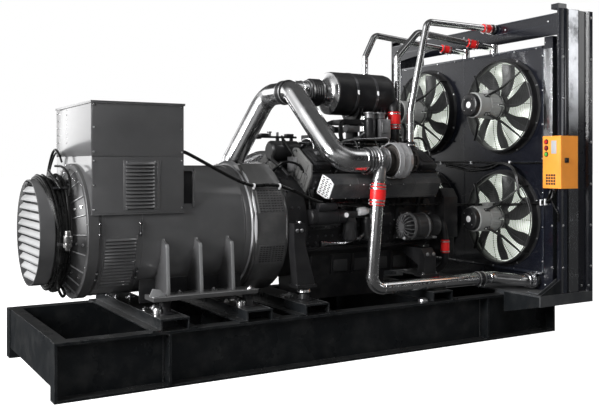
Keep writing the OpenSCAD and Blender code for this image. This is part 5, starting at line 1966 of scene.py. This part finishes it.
        for path, r in (
            ([(905, -424, 1466), (950, -436, 1446), (1180, -428, 1332), (1330, -418, 1264),
                (1432, -412, 1236), (1540, -414, 1238), (1639, -412, 1231), (1760, -424, 1190),
                (1900, -430, 1130), (2060, -430, 1088), (2300, -412, 1076), (2560, -410, 1080),
                (2900, -410, 1066)], 12),
            ([(2070, -420, 1096), (2240, -410, 1100), (2420, -420, 1068), (2560, -424, 1100)], 8),
            ([(1900, -240, 1440), (2100, -150, 1560), (2500, -160, 1566), (2900, -150, 1560),
                (3060, -170, 1500)], 9),
            ([(1700, -200, 1330), (1760, -260, 1400), (1860, -300, 1380), (1900, -330, 1300),
                (1910, -370, 1180), (1900, -400, 1060)], 9),
            ([(2900, -190, 1560), (3060, -210, 1600), (3120, -240, 1520), (3130, -300, 1380)], 9),
            ([(2890, -410, 1068), (3060, -410, 1066), (3120, -420, 1120), (3140, -330, 1240)], 8),
            ([(1940, 60, 1540), (1900, 20, 1600), (1880, -60, 1560), (1890, -180, 1450)], 8),
        ):
            loom.tube(flowing(path), r, 10)
        loom.done()
        pumps = Piece("valley_units", Finish.ENGINE, "engine_paint")
        bright = Piece("valley_fittings", Finish.CAST, "cast_housing")
        pumps.box((2090, -54, 1528), (2330, 54, 1612), 8)
        pumps.box((2360, -80, 1528), (2480, 60, 1588), 8)
        pumps.box((2580, -104, 1528), (2720, -40, 1650), 8)
        for x in (2600, 2700):
            pumps.turned([(0, 0), (0, 42), (8, 48), (150, 48), (160, 40), (160, 0)], (x, -160, 1590), UP,
                24)
            bright.turned([(0, 0), (0, 40), (36, 40), (36, 50), (48, 50), (48, 0)], (x, -160, 1750), UP, 20)
        pumps.box((2560, -220, 1570), (2745, -110, 1594), 6)
        bright.box((2650, -236, 1590), (2752, -196, 1742), 6)
        bright.box((2664, -242, 1630), (2738, -234, 1716), 4)
        bright.box((2296, -66, 1604), (2324, 20, 1660), 4)
        bright.band(0, 30, 0, 22, (2210, -20, 1612), UP, 12)
        bright.tube(bent([(2210, -20, 1640), (2210, -20, 1690), (2300, -60, 1690), (2300, -110, 1570)],
            20), 9, 12)
        bright.tube(bent([(2480, 0, 1570), (2520, -120, 1600), (2560, -160, 1640)], 20), 9, 12)
        bright.box((2000, -330, 1452), (2060, -250, 1480), 5)
        pumps.done()
        bright.done()
        red = Piece("valley_hose", Finish.HOSE_RED, "bellows_rubber")
        red.tube([(2850, -150, z) for z in (1668, 1672, 1806, 1810)], [46, 52, 52, 46], 30)
        red.tube([(3127, -452, z) for z in (678, 682, 780, 784)], [28, 34, 34, 28], 28)
        red.done()
        bands = Piece("valley_clamps", Finish.ZINC, "shield_plate")
        for z in (1684, 1704, 1794):
            bands.clamp((2850, -150, z), UP, 51.5, 11, 250)
        for z in (692, 770):
            bands.clamp((3127, -452, z), UP, 33.5, 10, 220)
        bands.done()
        pipes = Piece("water_hoses", Finish.HOSE_BLACK, "bellows_rubber")
        for path, r, sides in (
            ([(2850, -150, 1670), (2850, -150, 1600), (2870, -130, 1550), (2920, -90, 1500)], 44, 24),
            ([(2850, -150, 1808), (2850, -140, 1850), (2880, -100, 1880), (2900, -20, 1870),
                (2880, 40, 1800), (2860, 60, 1700), (2860, 40, 1560)], 42, 24),
            ([(3127, -452, 680), (3127, -440, 600), (3110, -360, 530), (3050, -258, 500)], 27, 20),
            ([(3127, -452, 782), (3127, -440, 850), (3140, -400, 930), (3180, -330, 980),
                (3200, -250, 1000)], 27, 20),
        ):
            pipes.tube(flowing(path), r, sides)
        pipes.done()

    def charger(self) -> None:
        """The belt-driven charging unit, its bracket and pulley, and the starter behind it."""
        body = Piece("charger_body", Finish.CAST_DARK, "engine_paint")
        dark = Piece("charger_windings", Finish.SUMP, "sump_paint")
        light = Piece("charger_fins", Finish.CAST, "cast_housing")
        c = (2680, -462, 905)
        dark.turned([(6, 0), (6, 66), (30, 92), (60, 96), (60, 0)], c, sides=40)
        light.turned([(0, 0), (0, 30), (10, 34), (14, 34), (14, 0)], c, sides=24)
        fin = Shape().prism([(0, 30), (2, 72), (26, 100), (58, 104), (58, 92), (30, 84), (12, 64),
            (12, 30)], -3, 6, "Y", 1, Matrix.Translation(c))
        light.repeat(fin, 18, turn=(20, 0, 0), about=c)
        light.turned([(58, 60), (58, 105), (64, 106), (76, 106), (80, 102), (80, 60)], c, sides=48)
        body.turned([(78, 0), (78, 98), (84, 101), (96, 101), (99, 98), (106, 98), (109, 101), (196, 101),
            (204, 92), (208, 84), (238, 84), (246, 78), (246, 0)], c, sides=48)
        light.turned([(196, 60), (196, 104), (206, 105), (214, 100), (214, 60)], c, sides=48)
        grooves = [(252 + 10 * k + d, r) for k in range(7) for d, r in ((0, 84), (5, 74))]
        body.turned([(250, 20), (250, 84), *grooves, (326, 84), (330, 84), (330, 20)], c, sides=40)
        body.turned([(238, 0), (238, 26), (360, 26), (372, 20), (372, 0)], c, sides=20)
        body.box((2700, -430, 810), (2890, -330, 832), 6)
        for x in (2716, 2860):
            body.prism([(-520, 828), (-512, 812), (-330, 812), (-326, 900), (-372, 880), (-420, 826)], x,
                18, "X", 3)
        arm = [(-566, 828), (-560, 812), (-430, 806), (-372, 812), (-360, 980), (-380, 990), (-400, 900),
            (-470, 830)]
        light.prism(arm, 2936, 14, "X", 3)
        body.band(0, 290, 0, 17, (2690, -492, 818), sides=16)
        body.done("charging_unit")
        dark.done()
        light.done()
        bolts = Piece("charger_bolts", Finish.ZINC, "shield_plate")
        bolts.fasten(Head.HEX, around((2679, -462, 905), 100, range(30, 390, 90), 5))
        ends = [((2689, -492, 818), 12), ((2934, -540, 820), 9), ((2934, -380, 960), 9)]
        bolts.fasten(Head.NUT, [(place, LEFT, thread) for place, thread in ends])
        tops = [((2956, -462, 997), 6), ((2740, -462, 1006), 7), ((2780, -440, 1004), 7)]
        bolts.fasten(Head.HEX, [(place, UP, thread) for place, thread in tops])
        bolts.done()
        starter = Piece("starter", Finish.ENGINE, "engine_paint")
        starter.turned([(0, 0), (0, 50), (8, 58), (40, 60), (44, 56), (50, 60), (230, 60), (236, 54),
            (300, 54), (300, 0)], (1885, -404, 1000), sides=36)
        starter.turned([(0, 0), (0, 26), (6, 30), (150, 30), (156, 24), (156, 0)], (1940, -440, 1072),
            sides=24)
        starter.box((1890, -420, 930), (2150, -330, 952), 6)
        for x in (2250, 2420):
            can = [(0, 0), (0, 40), (10, 52), (20, 56), (150, 56), (160, 48), (176, 46), (176, 0)]
            starter.turned(can, (x, -392, 810), UP, 32)
            for a in (tau * k / 10 for k in range(10)):
                grip, y = x + 55 * cos(a), -392 + 55 * sin(a)
                starter.box((grip - 3, y - 3, 832), (grip + 3, y + 3, 890), 1)
        starter.box((2180, -400, 980), (2490, -326, 1036), 10)
        starter.done()
        shiny = Piece("cooler_fittings", Finish.BRIGHT, "shield_plate")
        shiny.turned([(0, 0), (0, 30), (12, 32), (60, 32), (60, 24), (84, 24), (84, 0)],
            (2320, -406, 1030), (1, 0, 0.05), 24)
        shiny.band(0, 40, 0, 18, (2180, -420, 1010), NEAR, 12)
        shiny.done()

    def rear(self) -> None:
        """The breather and its bar over the flywheel housing, lifting eyes and covers."""
        black = Piece("breather_body", Finish.SUMP, "engine_paint")
        bright = Piece("breather_fittings", Finish.CAST, "cast_housing")
        black.turned([(0, 0), (0, 60), (10, 74), (18, 79), (22, 76), (28, 79), (222, 79), (228, 76),
            (234, 79), (242, 72), (250, 56), (250, 0)], (1775, 0, 1486), sides=48)
        black.box((1665, -14, 1584), (2014, 14, 1600), 4)
        black.turned([(0, 0), (0, 17), (14, 18), (40, 15), (40, 0)], (1668, 0, 1592), sides=16)
        for x, z in ((1838, 1330.6), (1960, 1294.6)):
            black.box((x, -10, z), (x + 24, 10, 1590), 4)
        black.tube(flowing([(1960, 0, 1500), (2030, -40, 1510), (2060, -60, 1550), (2110, -50, 1570)]), 20,
            16)
        black.tube(flowing([(1780, -60, 1460), (1740, -120, 1420), (1760, -200, 1370),
            (1800, -260, 1300)]), 13, 12)
        for x in (1700, 1920):
            black.box((x, -26, 1598), (x + 60, 26, 1618), 4)
        bright.turned([(0, 0), (0, 13), (24, 13), (24, 18), (34, 18), (34, 0)], (1780, 0, 1600), UP, 12)
        bright.band(0, 30, 0, 10, (1850, 0, 1600), UP, 10)
        bright.box((1880, -236, 1352), (1896, -100, 1440), 5)
        bright.box((1872, -214, 1330), (1884, -140, 1400), 4)
        for y in (-190, 190):
            bright.band(-6, 6, 22, 40, (1900, y, 1470), RIGHT, 20)
        black.done("breather")
        bright.done()
        wheel = Piece("flywheel_bolts", Finish.DARK_BOLT, "engine_paint")
        for x in (1700, 1760, 1820):
            wheel.fasten(Head.HEX, around((x, 0, 930), 400, range(20, 180, 20), 11, 0, 1))
        wheel.done()
        feet = Piece("engine_feet_bolts", Finish.ZINC, "motor_grey")
        for side in SIDES:
            feet.fasten(Head.HEX, [((1772, side * y, 970.5), UP, 12) for y in (430, 470)])
            faces = ((1708, 920), (1744, 920), (2870, 690), (2930, 690))
            feet.fasten(Head.HEX, [((x, side * 546, z), (0, side, 0), 12) for x, z in faces])
        feet.done()

    def build(self) -> None:
        """Builds the engine's pieces."""
        self.heads()
        self.flank()
        self.front()
        self.exhaust()
        self.turbos()
        self.filter()
        self.valley()
        self.charger()
        self.rear()


# --- the radiator and its box


@dataclass
class Radiator:
    """The radiator's frame details, the orange control box and the fan cables."""

    face: float = 3736.0
    side: float = 1083.0

    def frame(self) -> None:
        """Folded strips, bright metal sheets on the folds and the post faces as painted sheen, bolts, the
        gusset and the beams' details.
        """
        strips = Piece("frame_strips", Finish.GLOSS, "radiator_paint")
        posts = Piece("frame_posts", Finish.POST, "radiator_paint")
        shine = Piece("frame_folds", Finish.STRIP, "radiator_paint")
        bolts = Piece("frame_bolts", Finish.ZINC, "motor_grey")
        x, s = self.face, self.side
        for side in SIDES:
            for start, end in ((34, 72), (330, 360)):
                strips.block((x + start, side * (s - 1), 392), (x + end, side * (s + 1.2), 2588), 1)
            # bright metal sheets on the post faces, from the box upwards: painted sheen
            posts.block((x - 1.4, side * 915, 1206), (x + 1.5, side * 1001, 2290), 1)
            # the flat sheet and the fold take bright metal: painted sheen where the glossy black panel
            # reflects the light
            flat = [(92, 1064), (92, 1081), (200, 1081.4), (202, 1078)]
            fold = [(1, 1062.5), (24, 1082), (27, 1084.2), (30, 1084.2), (30, 1082), (27, 1081), (2, 1060)]
            for outline, edge in ((flat, 0), (fold, 0.4)):
                shine.prism([(x + dx, side * y) for dx, y in outline], 392, 2194, "Z", edge)
            places = [(4075, z) for z in (2540, 2212, 1884, 1557, 1229, 906, 582)]
            places += [(3762, z) for z in (2213, 1891, 910, 586)] + [(3899, 439), (3989, 432), (4050, 430)]
            sunk = {3899: -17, 3989: -17}
            bolts.fasten(Head.HEX, [((a, side * (s + sunk.get(a, 1.2)), z), (0, side, 0), 9)
                for a, z in places])
            bolts.fasten(Head.HEX, [((x - 1.4, side * 1000, z), LEFT, 8) for z in (2218, 1894, 907, 582)])
            bolts.fasten(Head.HEX, [((x - 1.4, side * 930, z), LEFT, 6) for z in (2340, 1390, 440)])
            corner = [(1060, 387), (1060, 470), (1002, 402), (1002, 387)]
            strips.prism([(side * y, z) for y, z in corner], x - 10, 6, "X", 1)
        strips.box((x - 1.2, -1020, 2470), (x + 0.5, 1020, 2478), 0.5)
        strips.box((x - 2.6, -1026, 2544), (x + 0.5, 1026, 2554), 1)
        for y in (-905, 905):
            strips.box((x - 1.2, y - 9, 517), (x + 0.4, y + 9, 2319), 0.6)
        for z in (526, 2309):
            strips.box((x - 1.2, -913, z - 9), (x + 0.4, 913, z + 9), 0.6)
        strips.box((x - 2.2, -913, 1400), (x + 0.4, 913, 1408), 0.8)
        strips.box((x - 2.2, -3, 518), (x + 0.4, 3, 2318), 0.8)
        bolts.fasten(Head.HEX, [((x - 1.2, y, z), LEFT, 6) for z in (532, 2303)
            for y in range(-840, 841, 240)])
        bolts.fasten(Head.HEX, [((x - 1.2, y, z), LEFT, 6) for y in (-903, 903)
            for z in range(620, 2260, 270)])
        bolts.fasten(Head.HEX, [((x - 1.2, y, 2500), LEFT, 7) for y in (-960, -500, 0, 500, 960)])
        strips.done()
        posts.done()
        shine.done()
        bolts.done()
        for side, name in ((-1, "near"), (1, "far")):
            plate = Piece(f"shelf_gusset_{name}", Finish.DECK, "deck_paint")
            plate.prism([(3524, 386.5), (3740, 386.5), (3740, 500)], side * 1034, side * 6, "Y", 1.2)
            plate.prism([(3560, 387), (3732, 387), (3728, 398), (3566, 398)], min(side * 900, side * 1034),
                130, "Y", 1.2)
            plate.done()

    def box(self) -> None:
        """The control box with its buttons, blank plate, vents drawn as painted shade, gland and the door's
        lock.
        """
        body = Piece("box_body", Finish.ORANGE, "box_orange")
        black = Piece("box_vents", Finish.SUMP, "fan_ring_black")
        x, low, high = 3688, -1118.2, -948
        body.box((x, low, 1198), (x + 190, high, 1603), 4)
        for z in (1203, 1596):
            body.box((x - 1.2, low + 4, z - 1.5), (x + 1, high - 4, z + 1.5), 0.4)
        # the vents' slots are near-black sheets on the door: painted shade
        for row in range(4):
            for column in range(4):
                y, z = -981 - column * 25, 1300 - row * 22
                black.box((x - 0.8, y - 19, z - 8), (x + 0.6, y, z + 8), 0.3)
        black.tube([(x + 60, -1010, 1200), (x + 60, -1010, 1172)], 14, 14)
        black.tube([(x + 24, -1040, 1200), (x + 24, -1040, 1180)], 11, 14)
        plate = Piece("blank_plate", Finish.PLATE_GREY, "shield_plate")
        plate.box((x - 1.8, -1086, 1466), (x + 0.6, -1034, 1566), 0.4)
        plate.done()
        for z, finish in ((1558, Finish.BUTTON_RED), (1510, Finish.BUTTON_DARK),
                (1462, Finish.BUTTON_GREEN)):
            button = Piece(finish.value.name, finish, "fan_ring_black")
            button.turned([(0.6, 0), (0, 14), (-6, 14), (-9, 11), (-10, 0)], (x, -985, z), sides=24)
            button.done()
            black.turned([(0.6, 13), (-3, 15), (-3, 20), (0.6, 21)], (x, -985, z), sides=24)
        body.done("control_box")
        black.done()
        lock = Piece("door_lock", Finish.SUMP, "fan_ring_black", "door")
        lock.box((3726.5, -1141.6, 1396.5), (3763.5, -1130, 1433.5), 2)
        lock.band(0, 4, 0, 11, (3745, -1141, 1415), NEAR, 20)
        lock.done()

    def cables(self) -> None:
        """The fan cables, their clips and the loop over the lower fan."""
        cables = Piece("fan_cables", Finish.CABLE, "cable_black")
        clips = Piece("cable_clips", Finish.BRIGHT, "motor_grey")
        x = self.face
        for path, r in (
            ([(3738, -1010, 1178), (3722, -1010, 1130), (x - 20, -980, 1098), (x - 16, -903, 1078),
                (x - 60, -820, 1074), (x - 150, -700, 1066), (x - 158, -445, 1056), (x - 158, -81, 1040),
                (x - 152, 208, 1026), (x - 150, 300, 1020)], 8.5),
            ([(x - 60, -820, 1066), (x - 150, -700, 1056), (x - 158, -300, 1042), (x - 150, 208, 1012)], 6),
            ([(x - 16, -913, 1397), (x - 11, -700, 1396), (x - 10, -445, 1400), (x - 10, 0, 1404),
                (x - 12, 440, 1408)], 7),
            ([(x - 16, -960, 1092), (x - 14, -900, 1092), (x - 14, -790, 1082), (x - 88, -748, 1130),
                (x - 96, -728, 1226), (x - 90, -703, 1307), (x - 60, -637, 1355), (x - 24, -536, 1382),
                (x - 14, -445, 1390), (x - 12, -327, 1350), (x - 12, -81, 1330), (x - 14, 80, 1356),
                (x - 14, 222, 1372)], 10),
            ([(x - 16, -965, 1086), (x - 15, -910, 1084), (x - 15, -800, 1072), (x - 92, -756, 1124),
                (x - 100, -742, 1222), (x - 94, -718, 1310), (x - 64, -650, 1364), (x - 26, -540, 1392),
                (x - 15, -445, 1398), (x - 14, -200, 1362), (x - 14, 60, 1380), (x - 14, 240, 1392)], 8),
            ([(3700, -1040, 1182), (3716, -1040, 1150), (x - 14, -1005, 1110), (x - 12, -1050, 1030),
                (x - 10, -1069, 995), (x - 9, -1064, 940)], 6),
            ([(3738, -990, 1198), (3724, -985, 1160), (x - 12, -960, 1110), (x - 10, -968, 1083)], 7),
        ):
            cables.tube(flowing(path, 5), r, 10)
        cables.box((x - 44, 449, 1366), (x - 1, 529, 1446), 5)
        cables.done("fan_harness")
        for y, z in ((-905, 1082), (-950, 1088)):
            clips.box((x - 30, y - 5, z - 22), (x - 1, y + 5, z + 26), 2)
        for y in (-560, -100, 300):
            clips.box((x - 19, y - 6, 1386), (x - 1, y + 6, 1412), 2)
        clips.done()

    def build(self) -> None:
        """Builds the radiator's pieces."""
        self.frame()
        self.box()
        self.cables()


# --- the base frame


@dataclass
class BaseFrame:
    """The base frame's welds, the mounts' bolts and lighter strips on the bearers' top edges, which are
    painted highlights.
    """

    bearers: tuple[float, ...] = (745, 1338, 1785, 2900)
    half: float = 700.0
    height: float = 350.0

    def build(self) -> None:
        """Builds the base's pieces."""
        welds = Piece("frame_welds", Finish.WELD, "base_paint")
        bolts = Piece("mount_bolts", Finish.ZINC, "motor_grey")
        edges = Piece("bearer_edges", Finish.DECK, "deck_paint")
        for side in SIDES:
            y = side * self.half
            for x in (700, 3350):
                welds.tube([(x - 9, y - side * 84, 18 + 30 * k) for k in range(11)], 2.6, 6)
            for x in self.bearers:
                for dx in (-95, 95):
                    welds.tube([(x + dx, side * (self.half - inset), self.height + 1)
                        for inset in (4, 96)], 3, 6)
        for side in SIDES:
            for x in self.bearers:
                for place in (x + 27, x - 60):
                    bolts.fasten(Head.NUT, [((place, side * (250 if place > x else 300), 424), UP, 16)])
                bolts.band(0, 5, 0, 34, (x + 27, side * 250, 424), UP, 28)
            for x in (690, 1283):
                bolts.turned([(0, 0), (0, 29), (34, 29), (48, 22), (56, 9), (58, 0)], (x, side * 520, 424),
                    UP, 32)
            for x in self.bearers[2:]:
                bolts.turned([(60, 2), (68, 4), (78, 16), (82, 28), (78, 40), (68, 47), (60, 48)],
                    (x, side * 510, 424), UP, 40)
                bolts.fasten(Head.NUT, [((x + dx, side * 530, 537), UP, 13) for dx in (-62, 62)])
            bolts.turned([(0, 0), (0, 36), (8, 38), (20, 34), (30, 20), (34, 0)], (2746, side * 645, 350),
                UP, 32)
        # lighter strips along the bearers' top edges: painted highlights
        for x in self.bearers:
            for dx in (-95, 89):
                edges.box((x + dx, -668, 421.5), (x + dx + 6, 668, 425), 1)
            edges.box((x - 95, -671, 421.5), (x + 95, -665, 425), 1)
        welds.done()
        bolts.done()
        edges.done()


# --- the studio


WHITE = (1, 1, 1, 1)


@dataclass
class Studio:
    """The pale floor, the soft lamps and the camera."""

    lens: float = 48.59
    eye: Point = (-3.198, -5.396, 1.377)
    turn: float = 30.53
    shift_y: float = -0.0679
    dark: float = 0.02
    windows: tuple[tuple[Point, float, float, float], ...] = (
        ((-1.0, 0.1, 0.30), 16, 40, 1.0),
        ((-0.34, 0.93, 0.08), 14, 23, 1.8),
        ((-0.70, 0.70, 0.16), 3, 9, 0.55),
        ((0.75, -0.645, 0.156), 3.5, 6, 2.4),
        ((-0.45, -0.85, 0.05), 8, 26, 0.34),
        ((-0.10, -0.80, 0.62), 6, 16, 0.7),
        ((0.75, -0.20, 0.62), 8, 20, 0.7),
        ((0.66, -0.22, 0.70), 13, 18, 0.8),
        ((0.1, 0.2, 1.0), 20, 60, 0.07),
    )
    ambient: float = 0.20
    reach: float = 90.0
    floor_glow: float = 0.96
    floor_shine: float = 0.055

    def camera(self) -> None:
        """Sets the camera up at eye height."""
        camera = bpy.data.cameras.new("camera")
        camera.lens = self.lens
        camera.sensor_width = 36.0
        camera.shift_y = self.shift_y
        camera.clip_end = 400.0
        holder = bpy.data.objects.new("camera", camera)
        holder.location = self.eye
        holder.rotation_euler = (radians(90), 0, -radians(self.turn))
        bpy.context.scene.collection.objects.link(holder)
        bpy.context.scene.camera = holder

    def lamp(self, name: str, place: Point, aim: Point, size: float, power: float) -> None:
        """Adds one soft square lamp.

        Args:
            name: the lamp's name.
            place: where it hangs.
            aim: the point it faces.
            size: its side in metres.
            power: its power in watts.
        """
        data = bpy.data.lights.new(name, "AREA")
        data.size = size
        data.energy = power
        lamp = bpy.data.objects.new(name, data)
        lamp.visible_glossy = name == "key"
        lamp.location = place
        lamp.rotation_euler = (Vector(aim) - Vector(place)).to_track_quat("-Z", "Y").to_euler()
        bpy.context.scene.collection.objects.link(lamp)

    def world(self) -> None:
        """A pale world, white to the camera, whose light side is left, behind and above."""
        world = bpy.data.worlds.new("studio")
        world.use_nodes = True
        bpy.context.scene.world = world
        s = Shader(world)
        path = s.node("ShaderNodeLightPath")
        split = s.node("ShaderNodeSeparateXYZ", {}, {0: s.value("ShaderNodeTexCoord", output="Generated")})
        x, y, z = (Value(s, split.outputs[k]) for k in range(3))
        light = s.value("ShaderNodeValue")
        light.socket.default_value = self.dark
        for (a, b, c), inner, outer, strength in self.windows:
            size = sqrt(a * a + b * b + c * c)
            towards = x * (a / size) + y * (b / size) + z * (c / size)
            light = light + towards.spread(cos(radians(outer)), cos(radians(inner)), to_high=strength)
        soft, shine, back = (
            s.value("ShaderNodeBackground", {}, {0: WHITE, 1: strength}) for strength in (self.ambient,
                light, 1.0)
        )
        glossy = s.value("ShaderNodeMixShader", {}, {0: path.outputs["Is Glossy Ray"], 1: soft, 2: shine})
        seen = Value(s, path.outputs["Is Camera Ray"]) | path.outputs["Is Transmission Ray"]
        both = s.value("ShaderNodeMixShader", {}, {0: seen, 1: glossy, 2: back})
        s.node("ShaderNodeOutputWorld", {}, {0: both})

    def floor(self) -> None:
        """Lays the pale floor, which keeps the set's soft shadow."""
        mesh = bpy.data.meshes.new("floor")
        corners = [(x * self.reach, y * self.reach, 0) for x, y in ((-1, -1), (1, -1), (1, 1), (-1, 1))]
        mesh.from_pydata(corners, [], [(0, 1, 2, 3)])
        floor = bpy.data.objects.new("floor", mesh)
        bpy.context.scene.collection.objects.link(floor)
        s = Shader("studio_floor")
        path = s.node("ShaderNodeLightPath")
        matt = s.value("ShaderNodeBsdfDiffuse", {}, {0: (0.5, 0.5, 0.5, 1)})
        seen = Value(s, path.outputs["Is Camera Ray"]) * self.floor_glow
        glow, dim = (s.value("ShaderNodeEmission", {}, {0: WHITE, 1: power})
            for power in (seen, self.floor_shine))
        both = s.value("ShaderNodeAddShader", {}, {0: matt, 1: glow})
        shown = s.value("ShaderNodeMixShader", {}, {0: path.outputs["Is Glossy Ray"], 1: both, 2: dim})
        s.node("ShaderNodeOutputMaterial", {}, {0: shown})
        mesh.materials.append(s.material)

    def build(self) -> None:
        """Sets the whole studio up."""
        self.camera()
        self.world()
        self.floor()
        self.lamp("key", (-9.5, -1.2, 4.2), (0, 0, 1.2), 4.5, 2100)
        self.lamp("front", (-1.5, -8.5, 6.0), (0, 0, 1.0), 4.0, 285)
        self.lamp("top", (1.0, 1.0, 7.5), (0, 0, 1.0), 4.0, 120)
        bpy.context.scene.view_settings.view_transform = "Standard"


NODE_FINISH = {
    Finish.BASE: ["base_beam_near", "base_beam_far", "base_cross_members", "mounting_bearers",
        "shelf_brackets"],
    Finish.DECK: ["radiator_shelf"],
    Finish.HOSE_BLACK: ["vibration_mounts"],
    Finish.ALTERNATOR: ["stator_housing", "air_inlet_drum", "terminal_box_lower", "terminal_box_upper",
        "terminal_box_lid"],
    Finish.SLATS: ["inlet_slats"],
    Finish.ENGINE: ["engine_block", "engine_supports"],
    Finish.SUMP: ["oil_sump"],
    Finish.RADIATOR: ["radiator_side_near", "radiator_side_far", "radiator_top_beam", "bottom_tank",
        "fan_panel"],
    Finish.CORE: ["radiator_core"],
    Finish.ORANGE: ["control_box_door"],
}


def dress_nodes(nodes: dict[str, bpy.types.Object]) -> None:
    """Gives each node that shows its finish."""
    for finish, names in NODE_FINISH.items():
        for name in names:
            mesh = nodes[name].data
            mesh.materials.clear()
            mesh.materials.append(finish.material())


PARTS = (Fans, Alternator, Pipework, Engine, Radiator, BaseFrame)


def main() -> None:
    """Builds the dressed set in order."""
    logging.basicConfig(level=logging.INFO)
    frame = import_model()
    Datum.read()
    Studio().build()
    dress_nodes(frame["nodes"])
    for part in PARTS:
        part().build()


if __name__ == "__main__":
    main()
